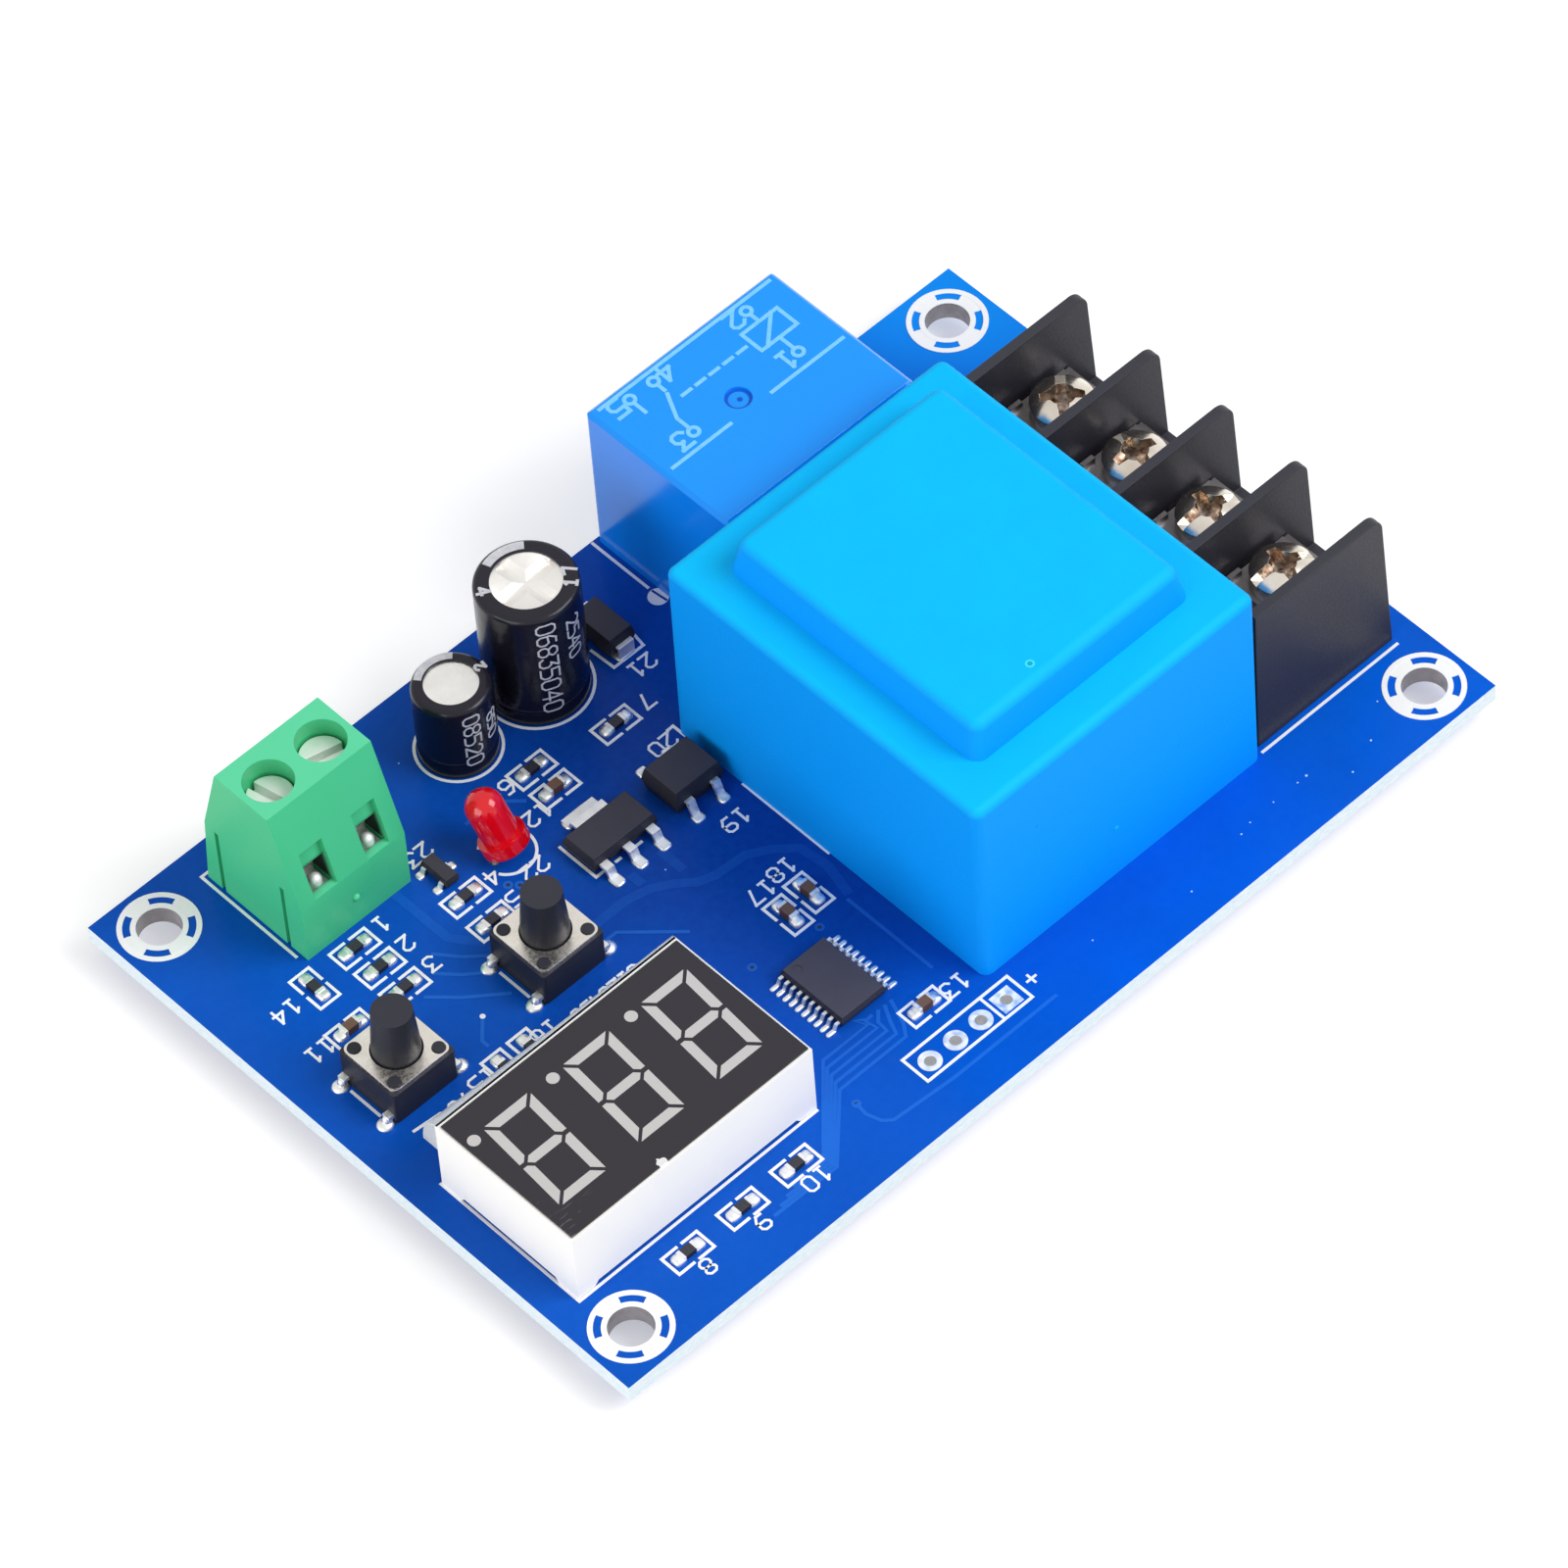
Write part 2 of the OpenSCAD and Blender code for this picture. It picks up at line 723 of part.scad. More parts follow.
// Thin plate between the screw's tip and the wire
module wire_leaf(way) {
    color("gainsboro")
        on_board(wire_terminal_at)
            translate([wire_x(way), wire_axis_y, cage_floor + fit_gap])
                translate([-leaf_size[0] / 2, -leaf_size[1] / 2, 0])
                    cube(leaf_size);
}

module wire_screw(way) {
    tip = cage_floor + leaf_size[2] + 2 * fit_gap;
    head_top = wire_head_low + wire_head_height;
    color("silver")
        on_board(wire_terminal_at)
            translate([wire_x(way), wire_axis_y, 0])
                rotate([0, 0, wire_screw_turn[way]])
                    difference() {
                        union() {
                            translate([0, 0, wire_head_low])
                                cylinder(r = wire_head_r, h = wire_head_height);
                            translate([0, 0, tip])
                                cylinder(r = wire_screw_r, h = wire_head_low - tip + fit_gap);
                        }
                        translate([-wire_head_r - over, -wire_slot[0] / 2, head_top - wire_slot[1]])
                            cube([2 * (wire_head_r + over), wire_slot[0], wire_slot[1] + over]);
                    }
}

module wire_leaf_1() { wire_leaf(0); }
module wire_leaf_2() { wire_leaf(1); }
module wire_screw_1() { wire_screw(0); }
module wire_screw_2() { wire_screw(1); }

// Display: its digits are read from the back edge, so they are turned half a turn

face_thickness = 0.15;
face_border = 0.2;
face_back_border = 0.45;
segment_depth = 1;
segment_width = 0.8;
segment_gap = 0.2;
digit_width = 4.5;
digit_pitch = 7.6;
point_r = 0.5;
point_shift = [3.36, -4.1];
foot_height = 0.45;
foot_length = [1.6, 2];
foot_slope = 0.4;
digits = 3;

// A point of a digit, moved sideways by the lean
function leaned(p) = [p[0] + p[1] * tan(digit_slant), p[1]];

// Bars of the upper left quarter of a digit, with mitred ends
function end_bar(w, h, s, g) = [[g - w, h], [w - g, h], [w - s - g, h - s], [s + g - w, h - s]];
function side_bar(w, h, s, g) = [
    [-w, h - g], [-w, g], [s / 2 - w, g], [s - w, s / 2 + g], [s - w, h - s - g]
];
function middle_bar(w, s, g) = [
    [s / 2 + g - w, 0], [s + g - w, s / 2], [w - s - g, s / 2],
    [w - s / 2 - g, 0], [w - s - g, -s / 2], [s + g - w, -s / 2]
];

module digit_bars() {
    w = digit_width / 2;
    h = digit_height / 2;
    middle = middle_bar(w, segment_width, segment_gap);
    end = end_bar(w, h, segment_width, segment_gap);
    upright = side_bar(w, h, segment_width, segment_gap);
    polygon([for (p = middle) leaned(p)]);
    for (up = [-1, 1]) {
        polygon([for (p = end) leaned([p[0], up * p[1]])]);
        for (side = [-1, 1])
            polygon([for (p = upright) leaned([side * p[0], up * p[1]])]);
    }
}

module all_digits(point_radius) {
    rotate(180)
        for (i = [0:digits - 1])
            translate([(i - (digits - 1) / 2) * digit_pitch, 0]) {
                digit_bars();
                translate(leaned(point_shift))
                    circle(point_radius, $fn = 32);
            }
}

// Low arch between two feet
module foot_arch(length) {
    polygon([
        [-length / 2, -over], [length / 2, -over], [length / 2, 0],
        [length / 2 - foot_slope, foot_height], [foot_slope - length / 2, foot_height], [-length / 2, 0]
    ]);
}

module display_housing() {
    top = display_height - face_thickness;
    color("whitesmoke")
        on_board(display_at)
            difference() {
                translate([-display_length / 2, -display_width / 2, 0])
                    cube([display_length, display_width, top]);
                translate([0, 0, top - segment_depth])
                    linear_extrude(segment_depth + over)
                        all_digits(point_r + fit_gap);
                rotate([90, 0, 0])
                    linear_extrude(2 * display_width, center = true)
                        foot_arch(display_length - 2 * foot_length[0]);
                rotate([90, 0, 90])
                    linear_extrude(2 * display_length, center = true)
                        foot_arch(display_width - 2 * foot_length[1]);
            }
}

module display_face() {
    face = [display_length - 2 * face_border, display_width - face_border - face_back_border];
    color([0.2, 0.19, 0.21])
        on_board(display_at)
            translate([0, 0, display_height - face_thickness])
                linear_extrude(face_thickness)
                    difference() {
                        translate([-face[0] / 2, face_border - display_width / 2])
                            square(face);
                        all_digits(point_r + fit_gap);
                    }
}

module display_segments() {
    color([0.85, 0.82, 0.78])
        on_board(display_at)
            translate([0, 0, display_height - face_thickness - segment_depth])
                linear_extrude(segment_depth + face_thickness)
                    all_digits(point_r);
}

module display_pins() {
    color("silver")
        on_board(display_at)
            for (pin = display_pins_at)
                translate([pin[0], pin[1], 0])
                    round_lead(display_pin_r, foot_height);
}

// Push buttons

cover_thickness = 0.3;
cover_side = button_side - 0.3;
cover_corner = 0.6;
rivet_r = 0.5;
rivet_spot = 2.15;
rivet_rise = 0.12;
plunger_foot_r = 1.85;
plunger_top_r = 1.55;
plunger_flange_r = 2.15;
plunger_flange = 0.8;
plunger_nub_r = 1;
button_floor = 0.8;
button_well_r = 2.3;
dome_r = 2.1;
dome_rise = 0.45;
dome_thickness = 0.08;
cover_low = button_cover_top - cover_thickness;
terminal_width = 0.7;
terminal_thickness = 0.3;
terminal_height = 0.9;

module button_base(place) {
    color([0.14, 0.14, 0.15])
        on_board(place)
            difference() {
                union() {
                    linear_extrude(cover_low)
                        rounded_plan(button_side, button_side, 0.3);
                    for (x = [-1, 1])
                        for (y = [-1, 1])
                            translate([x * rivet_spot, y * rivet_spot, cover_low - over])
                                cylinder(r = rivet_r, h = over + cover_thickness + rivet_rise);
                }
                translate([0, 0, button_floor])
                    cylinder(r = button_well_r, h = cover_low);
            }
}

module button_cover(place) {
    color([0.78, 0.75, 0.7])
        on_board(place)
            translate([0, 0, cover_low])
                linear_extrude(cover_thickness)
                    difference() {
                        rounded_plan(cover_side, cover_side, cover_corner);
                        circle(plunger_foot_r + running_gap);
                        for (x = [-1, 1])
                            for (y = [-1, 1])
                                translate([x * rivet_spot, y * rivet_spot])
                                    circle(rivet_r + fit_gap);
                    }
}

// Plunger with a taper above the cover, held in by a flange and resting on the dome
module button_plunger(place) {
    flange_top = cover_low - fit_gap;
    nub_low = button_floor + dome_rise + 2 * fit_gap;
    taper_low = button_cover_top + button_travel;
    color([0.12, 0.12, 0.13])
        on_board(place) {
            translate([0, 0, nub_low])
                cylinder(r = plunger_nub_r, h = flange_top - nub_low);
            translate([0, 0, flange_top - plunger_flange])
                cylinder(r = plunger_flange_r, h = plunger_flange);
            translate([0, 0, flange_top - fit_gap])
                cylinder(r = plunger_foot_r, h = taper_low + 2 * fit_gap - flange_top);
            translate([0, 0, taper_low])
                cylinder(r1 = plunger_foot_r, r2 = plunger_top_r, h = button_height - taper_low);
        }
}

// Thin snap dome on the floor of the well
module button_dome(place) {
    slope = 0.6;
    color("silver")
        on_board(place)
            translate([0, 0, button_floor + fit_gap])
                rotate_extrude()
                    polygon([
                        [0, dome_rise - dome_thickness], [dome_r * slope, dome_rise - dome_thickness],
                        [dome_r - dome_thickness, 0], [dome_r, 0],
                        [dome_r * slope + dome_thickness, dome_rise], [0, dome_rise]
                    ]);
}

// Strips that leave the base's sides and go down through the board
module button_terminals(place) {
    side = button_side / 2;
    inner = abs(button_pins_at[0][0]) - terminal_thickness / 2;
    outer = inner + terminal_thickness;
    under = terminal_height - terminal_thickness;
    color("silver")
        on_board(place)
            for (pin = button_pins_at)
                translate([0, pin[1], 0])
                    mirror([pin[0] < 0 ? 1 : 0, 0, 0])
                        rotate([90, 0, 0])
                            linear_extrude(terminal_width, center = true)
                                polygon([
                                    [side, terminal_height], [side, under], [inner, under],
                                    [inner, lead_tip], [outer, lead_tip], [outer, terminal_height]
                                ]);
}

module button_1_base() { button_base(button_at[0]); }
module button_1_cover() { button_cover(button_at[0]); }
module button_1_plunger() { button_plunger(button_at[0]); }
module button_1_dome() { button_dome(button_at[0]); }
module button_1_terminals() { button_terminals(button_at[0]); }
module button_2_base() { button_base(button_at[1]); }
module button_2_cover() { button_cover(button_at[1]); }
module button_2_plunger() { button_plunger(button_at[1]); }
module button_2_dome() { button_dome(button_at[1]); }
module button_2_terminals() { button_terminals(button_at[1]); }

// Electrolytic capacitors

sleeve = 0.15;
can_low = 0.1;
can_edge = 0.5;
can_lip_share = 0.32;
crimp_low = 0.9;
crimp_high = 1.8;
crimp_depth = 0.15;
score_width = [0.3, 1.5];
score_depth = 0.25;
score_reach = 0.65;
score_turn = [5, 95];

// Pressed relief groove along X with sloping sides, cut down from a lid at zero
module score(length) {
    foot = score_width[0] / 2;
    mouth = score_width[1] / 2;
    rotate([90, 0, 90])
        linear_extrude(length, center = true)
            polygon([
                [-foot, -score_depth], [foot, -score_depth], [mouth, 0],
                [mouth, over], [-mouth, over], [-mouth, 0]
            ]);
}

// Half outline of a crimped can, from its foot to its rim
function can_side(r, top) = concat(
    [
        [r, can_low], [r, crimp_low], [r - crimp_depth, crimp_low + 0.3], [r - crimp_depth, crimp_high - 0.3],
        [r, crimp_high]
    ],
    [for (turn = [0:22.5:90]) [r, top] + can_edge * [cos(turn) - 1, sin(turn) - 1]]
);
function backwards(points) = [for (i = [len(points) - 1:-1:0]) points[i]];

module can(place, d, height, scored) {
    r = d / 2 - sleeve - fit_gap;
    top = height - sleeve;
    color("gainsboro")
        on_board(place)
            difference() {
                rotate_extrude()
                    polygon(concat([[0, can_low]], can_side(r, top), [[0, top]]));
                if (scored)
                    for (turn = score_turn)
                        translate([0, 0, top])
                            rotate([0, 0, turn])
                                score(2 * score_reach * r);
            }
}

// Shrunk sleeve that folds in over the can's rim
module can_sleeve(place, d, height) {
    r = d / 2;
    lip = r * can_lip_share;
    inner = can_side(r - sleeve, height - sleeve + fit_gap);
    outer = can_side(r, height + fit_gap);
    color([0.13, 0.13, 0.14])
        on_board(place)
            rotate_extrude()
                polygon(concat(
                    outer,
                    [[r - lip, height + fit_gap], [r - lip, height - sleeve + fit_gap]],
                    backwards(inner)
                ));
}

module can_leads(place, spots, r) {
    color("silver")
        on_board(place)
            for (spot = spots)
                translate([spot[0], spot[1], 0])
                    round_lead(r, can_low);
}

module large_capacitor_can() { can(large_can_at, large_can_diameter, large_can_height, true); }
module large_capacitor_sleeve() { can_sleeve(large_can_at, large_can_diameter, large_can_height); }
module large_capacitor_leads() { can_leads(large_can_at, large_leads_at, large_lead_r); }
module small_capacitor_can() { can(small_can_at, small_can_diameter, small_can_height, false); }
module small_capacitor_sleeve() { can_sleeve(small_can_at, small_can_diameter, small_can_height); }
module small_capacitor_leads() { can_leads(small_can_at, small_leads_at, small_lead_r); }

// Lamp, leaning on its leads

lamp_kink = 0.9;
lamp_turn = 18;
lamp_flange_r = lamp_diameter / 2 + 0.4;
lamp_flange = 1;
lamp_barrel = 3.8;
lamp_post = 2.6;
lamp_cup_r = 0.7;
lamp_cup_height = 0.8;

module leaning() {
    translate([0, 0, lamp_kink])
        rotate([0, 0, lamp_turn])
            rotate([-lamp_lean, 0, 0])
                rotate([0, 0, -lamp_turn])
                    children();
}

// Lead frame inside the lens: a cup on one side and a post on the other
module lamp_frame(slack) {
    for (spot = lamp_leads_at)
        translate([spot[0] * 0.6, 0, 0])
            cylinder(r = lamp_lead_r + slack, h = lamp_post + slack);
    translate([lamp_leads_at[0][0] * 0.4, 0, lamp_post - lamp_cup_height])
        cylinder(r = lamp_cup_r + slack, h = lamp_cup_height + slack);
}

module lamp_lens() {
    color("red")
        on_board(lamp_at)
            leaning()
                difference() {
                    union() {
                        cylinder(r = lamp_flange_r, h = lamp_flange);
                        cylinder(d = lamp_diameter, h = lamp_barrel);
                        translate([0, 0, lamp_barrel])
                            sphere(d = lamp_diameter);
                    }
                    translate([0, 0, -over])
                        for (spot = lamp_leads_at)
                            translate([spot[0] * 0.6, 0, 0])
                                cylinder(r = lamp_lead_r + fit_gap, h = 2 * over);
                    lamp_frame(fit_gap);
                }
}

module lamp_leads() {
    color("silver")
        on_board(lamp_at) {
            leaning()
                lamp_frame(0);
            for (spot = lamp_leads_at) {
                translate([spot[0] * 0.6, 0, lamp_kink])
                    sphere(lamp_lead_r);
                translate([spot[0], spot[1], 0])
                    round_lead(lamp_lead_r, lamp_kink / 4);
                hull() {
                    translate([spot[0] * 0.6, 0, lamp_kink])
                        sphere(lamp_lead_r, $fn = 16);
                    translate([spot[0], 0, lamp_kink / 4])
                        sphere(lamp_lead_r, $fn = 16);
                }
            }
        }
}

// Surface-mount parts

// Voltage regulator with a wide tab at the back and three leads in front
regulator_top = 1.65;
regulator_pitch = 2.3;
regulator_reach = 1.9;

module regulator_body() {
    color([0.2, 0.19, 0.2])
        on_board(regulator_at)
            moulded_body(regulator_size[0], regulator_size[1], 0.08, regulator_top, 0.25);
}

module regulator_leads() {
    middle = (regulator_top + 0.08) / 2;
    color("silver")
        on_board(regulator_at) {
            for (i = [-1:1])
                translate([i * regulator_pitch, -regulator_size[1] / 2, 0])
                    rotate([0, 0, -90])
                        formed_lead(regulator_reach, middle, 0.9, 0.25, 0.75);
            translate([0, regulator_size[1] / 2, 0])
                rotate([0, 0, 90])
                    formed_lead(regulator_reach, middle, 0.9, 0.25, 3.1);
        }
}

// Bridge rectifier with two leads on each long side
bridge_top = 2.5;
bridge_reach = 1.35;

module bridge_body() {
    color([0.18, 0.18, 0.19])
        on_board(bridge_at)
            moulded_body(bridge_size[0], bridge_size[1], 0.1, bridge_top, 0.25);
}

module bridge_leads() {
    middle = (bridge_top + 0.1) / 2;
    color("silver")
        on_board(bridge_at)
            for (side = [-1, 1])
                for (x = [-1, 1])
                    translate([x * lead_pitch / 2, side * bridge_size[1] / 2, 0])
                        rotate([0, 0, side * 90])
                            formed_lead(bridge_reach, middle, 0.6, 0.22, 0.7);
}

// Controller with ten leads on each long side
controller_size = [4.4, 6.5];
controller_top = 1.1;
controller_pitch = 0.65;
controller_reach = 1.15;
controller_mark_r = 0.4;
controller_mark_inset = 0.9;
controller_mark_depth = 0.06;

module controller_body() {
    mark_x = controller_mark_inset - controller_size[0] / 2;
    mark_y = controller_size[1] / 2 - controller_mark_inset;
    color([0.16, 0.16, 0.17])
        on_board(controller_at)
            difference() {
                moulded_body(controller_size[0], controller_size[1], 0.1, controller_top, 0.15);
                translate([mark_x, mark_y, controller_top - controller_mark_depth])
                    cylinder(r = controller_mark_r, h = over);
            }
}

module controller_leads() {
    middle = (controller_top + 0.1) / 2;
    color("silver")
        on_board(controller_at)
            for (side = [0, 180])
                rotate([0, 0, side])
                    for (i = [-4.5:1:4.5])
                        translate([controller_size[0] / 2, i * controller_pitch, 0])
                            formed_lead(controller_reach, middle, 0.6, 0.13, 0.26);
}

// Transistor with two leads on one side and one on the other
transistor_size = [1.3, 2.9];
transistor_top = 1.05;
transistor_pitch = 1.9;
transistor_reach = 0.65;

module transistor_body() {
    color([0.16, 0.16, 0.17])
        on_board(transistor_at)
            moulded_body(transistor_size[0], transistor_size[1], 0.08, transistor_top, 0.12);
}

module transistor_leads() {
    middle = (transistor_top + 0.08) / 2;
    color("silver")
        on_board(transistor_at) {
            for (y = [-1, 1])
                translate([-transistor_size[0] / 2, y * transistor_pitch / 2, 0])
                    rotate([0, 0, 180])
                        formed_lead(transistor_reach, middle, 0.35, 0.12, 0.42);
            translate([transistor_size[0] / 2, 0, 0])
                formed_lead(transistor_reach, middle, 0.35, 0.12, 0.42);
        }
}

// Diode with a wide formed lead at each end
diode_size = [2.6, 4.3];
diode_top = 2.2;
diode_reach = 0.4;

module diode_body() {
    color([0.16, 0.16, 0.17])
        on_board(diode_at)
            moulded_body(diode_size[0], diode_size[1], 0.2, diode_top, 0.2);
}

// Each lead leaves the end, runs down it and turns under the body
module diode_leads() {
    middle = (diode_top + 0.2) / 2;
    thickness = 0.16;
    end = diode_size[1] / 2;
    color("silver")
        on_board(diode_at)
            for (side = [0, 180])
                rotate([0, 0, side + 90])
                    rotate([90, 0, 0])
                        linear_extrude(1.5, center = true)
                            polygon([
                                [end, middle + thickness], [end + diode_reach, middle + thickness],
                                [end + diode_reach, 0], [end - 0.9, 0], [end - 0.9, thickness],
                                [end + diode_reach - thickness, thickness],
                                [end + diode_reach - thickness, middle], [end, middle]
                            ]);
}

// Chip parts: a body between two wrapped metal ends
chip_length = 1.6;
chip_end = 0.32;
chip_wrap = 0.02;
resistor_height = 0.45;
capacitor_height = 0.75;

module chip_places(along_x, along_y) {
    for (place = along_x)
        on_board(place)
            children();
    for (place = along_y)
        on_board(place)
            rotate([0, 0, 90])
                children();
}

module chip_body(height) {
    length = chip_length - 2 * chip_end;
    translate([-length / 2, -chip_width / 2, chip_wrap])
        cube([length, chip_width, height - chip_wrap]);
}

module chip_ends(height) {
    for (side = [0, 180])
        rotate([0, 0, side])
            translate([chip_length / 2 - chip_end, -chip_width / 2 - chip_wrap, 0])
                cube([chip_end, chip_width + 2 * chip_wrap, height + chip_wrap]);
}

module chip_resistor_bodies() {
    color([0.15, 0.14, 0.15])
        chip_places(resistors_along_x, resistors_along_y)
            chip_body(resistor_height);
}

module chip_resistor_ends() {
    color("silver")
        chip_places(resistors_along_x, resistors_along_y)
            chip_ends(resistor_height);
}

module chip_capacitor_bodies() {
    color([0.5, 0.38, 0.3])
        chip_places(capacitors_along_x, capacitors_along_y)
            chip_body(capacitor_height);
}

module chip_capacitor_ends() {
    color("silver")
        chip_places(capacitors_along_x, capacitors_along_y)
            chip_ends(capacitor_height);
}

// Drawing of the chosen node, or of all of them

circuit_board();
solder_joints();
transformer_case();
transformer_pins();
relay_case();
relay_pins();
barrier_housing();
barrier_contacts();
barrier_clamp_1();
barrier_clamp_2();
barrier_clamp_3();
barrier_clamp_4();
barrier_screw_1();
barrier_screw_2();
barrier_screw_3();
barrier_screw_4();
wire_terminal_housing();
wire_terminal_contacts();
wire_leaf_1();
wire_leaf_2();
wire_screw_1();
wire_screw_2();
display_housing();
display_face();
display_segments();
display_pins();
button_1_base();
button_1_cover();
button_1_plunger();
button_1_dome();
button_1_terminals();
button_2_base();
button_2_cover();
button_2_plunger();
button_2_dome();
button_2_terminals();
large_capacitor_can();
large_capacitor_sleeve();
large_capacitor_leads();
small_capacitor_can();
small_capacitor_sleeve();
small_capacitor_leads();
lamp_lens();
lamp_leads();
regulator_body();
regulator_leads();
bridge_body();
bridge_leads();
controller_body();
controller_leads();
transistor_body();
transistor_leads();
diode_body();
diode_leads();
chip_resistor_bodies();
chip_resistor_ends();
chip_capacitor_bodies();
chip_capacitor_ends();
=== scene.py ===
import json
import math

import bmesh
import bpy
from mathutils import Euler, Matrix, Vector


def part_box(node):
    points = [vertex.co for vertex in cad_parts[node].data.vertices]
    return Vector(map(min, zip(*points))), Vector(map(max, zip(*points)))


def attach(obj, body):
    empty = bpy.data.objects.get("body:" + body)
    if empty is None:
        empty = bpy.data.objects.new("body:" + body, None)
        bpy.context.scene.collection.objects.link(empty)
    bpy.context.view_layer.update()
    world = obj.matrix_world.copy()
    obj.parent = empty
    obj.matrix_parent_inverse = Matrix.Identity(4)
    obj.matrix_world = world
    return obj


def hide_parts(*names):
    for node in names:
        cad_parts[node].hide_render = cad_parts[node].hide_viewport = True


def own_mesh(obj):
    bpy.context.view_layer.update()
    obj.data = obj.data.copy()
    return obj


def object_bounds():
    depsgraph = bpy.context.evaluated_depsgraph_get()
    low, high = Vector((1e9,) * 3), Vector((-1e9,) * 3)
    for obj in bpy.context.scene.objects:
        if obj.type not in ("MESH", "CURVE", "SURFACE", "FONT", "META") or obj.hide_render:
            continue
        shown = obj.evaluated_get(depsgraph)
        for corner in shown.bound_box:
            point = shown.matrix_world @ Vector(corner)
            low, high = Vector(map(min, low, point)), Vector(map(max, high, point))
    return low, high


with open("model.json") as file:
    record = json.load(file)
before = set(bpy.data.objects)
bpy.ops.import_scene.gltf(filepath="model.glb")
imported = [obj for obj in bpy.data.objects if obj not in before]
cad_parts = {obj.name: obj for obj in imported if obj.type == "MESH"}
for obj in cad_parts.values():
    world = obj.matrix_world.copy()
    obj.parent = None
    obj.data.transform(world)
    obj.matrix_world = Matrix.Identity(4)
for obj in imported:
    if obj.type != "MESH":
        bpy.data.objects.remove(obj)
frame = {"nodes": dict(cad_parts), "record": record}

cad_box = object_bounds()

# Sizes in millimetres, and places from the board's front left corner

MM = 0.001
SAME_PLACE = 1e-7
board_low, board_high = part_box("circuit_board")
BOARD_TOP = board_high[2]
BOARD_SIZE = ((board_high[0] - board_low[0]) / MM, (board_high[1] - board_low[1]) / MM)
THICKNESS = BOARD_TOP / MM

HOLE_INSET = 3.7
MOUNTING_HOLES = [(x, y) for x in (HOLE_INSET, BOARD_SIZE[0] - HOLE_INSET)
                  for y in (HOLE_INSET, BOARD_SIZE[1] - HOLE_INSET)]
LEAD_PITCH = 2.54
HEADER_HOLES = [(34.51 + LEAD_PITCH * i, 5.25) for i in range(4)]
PART_VIAS = [(31.32, 20.45), (28.20, 6.31), (37.23, 19.57), (24.03, 38.59), (24.63, 37.97)]
FILLED_VIA = (14.71, 31.19)

RESISTORS_ALONG_X = [(12.35, 42.3), (12.45, 39.7), (12.5, 37.05), (21.1, 39.95), (21.0, 36.95),
                     (32.4, 45.1), (39.6, 43.75), (10.85, 5.45), (16.2, 5.45), (21.45, 5.45)]
RESISTORS_ALONG_Y = [(7.9, 41.75), (12.7, 26.45), (15.25, 26.45)]
CAPACITORS_ALONG_X = [(7.25, 37.15), (32.4, 42.55), (37.55, 9.0)]
CAPACITORS_ALONG_Y = [(36.4, 22.0), (38.85, 22.4)]

LARGE_CAN = (38.2, 50.75)
SMALL_CAN = (30.15, 50.6)
SCORE_TURN = 5
BUTTONS = [(21.6, 31.6), (6.95, 31.5)]
LAMP = (26.1, 40.9)
RELAY = (60.05, 49.85)
RELAY_TOP = 15.0
DISPLAY = (14.32, 15.2)
DISPLAY_ROW = 5.08
CHIPPED_PLACE = (11.71, 8.45, 7.3)

# A barrier screw's head: twice the radius of its dome's ball, and how far out its cross reaches
BARRIER_PITCH = 7.62
HEAD_BALL = 7.2
CROSS_REACH = 2.3

WIRE_TERMINAL = (14.3, 49.4)
WIRE_PITCH = 5.08
# The terminal's sloped front: its run back for each millimetre up, and its line's reach at the board
WIRE_SLOPE = 0.312
WIRE_FRONT = -7.26
# The middle and half size of a wire way along each axis, from the terminal's place
WIRE_WAY = {"X": (WIRE_PITCH / 2, 1.3), "Y": (-3.2, 2.4), "Z": (7.15, 1.3)}


def spot(x, y, z=0.0):
    """A place in millimetres from the board's front left corner and above its parts side."""
    return Vector((board_low[0] + x * MM, board_low[1] + y * MM, BOARD_TOP + z * MM))


def top_middle(low, high):
    """The middle of a box's top."""
    return ((low[0] + high[0]) / 2, (low[1] + high[1]) / 2, high[2])


# Camera: its place in metres, and its turn in degrees

CAMERA_PLACE = (-0.3010, -0.35995, 0.6129)
CAMERA_TURN = (37.5387, 2.8875, -43.573)
CAMERA_LENS = 242.325


def set_camera():
    """The photograph's view: a long lens above the board's front left corner."""
    lens = bpy.data.cameras.new("photo_view")
    lens.sensor_fit = "HORIZONTAL"
    lens.sensor_width = 36.0
    lens.lens = CAMERA_LENS
    lens.clip_start = 0.01
    lens.clip_end = 20.0
    camera = bpy.data.objects.new("photo_view", lens)
    turn = Euler([math.radians(angle) for angle in CAMERA_TURN])
    camera.matrix_world = Matrix.LocRotScale(CAMERA_PLACE, turn, None)
    bpy.context.scene.collection.objects.link(camera)
    bpy.context.scene.camera = camera


# Materials

MIXED = {"data_type": "RGBA"}
EASED = {"interpolation_type": "SMOOTHSTEP"}


def linear(code):
    """An sRGB hex colour as linear values."""
    parts = [int(code[i:i + 2], 16) / 255 for i in (1, 3, 5)]
    return tuple(p / 12.92 if p <= 0.04045 else ((p + 0.055) / 1.055) ** 2.4 for p in parts) + (1.0,)


def add(tree, kind, inputs=None, **settings):
    """Adds one node with its settings; a socket or a node's first output is linked, the rest is set."""
    made = tree.nodes.new(kind)
    for name, value in settings.items():
        setattr(made, name, value)
    for name, value in (inputs or {}).items():
        if isinstance(value, bpy.types.Node):
            value = value.outputs[0]
        if isinstance(value, bpy.types.NodeSocket):
            tree.links.new(value, made.inputs[name])
        elif isinstance(value, str) and value.startswith("#"):
            made.inputs[name].default_value = linear(value)
        else:
            made.inputs[name].default_value = value
    return made


def open_finish(name):
    """An empty material, its tree and its Object coordinates."""
    material = bpy.data.materials.new(name)
    material.use_nodes = True
    tree = material.node_tree
    tree.nodes.clear()
    return material, tree, add(tree, "ShaderNodeTexCoord").outputs["Object"]


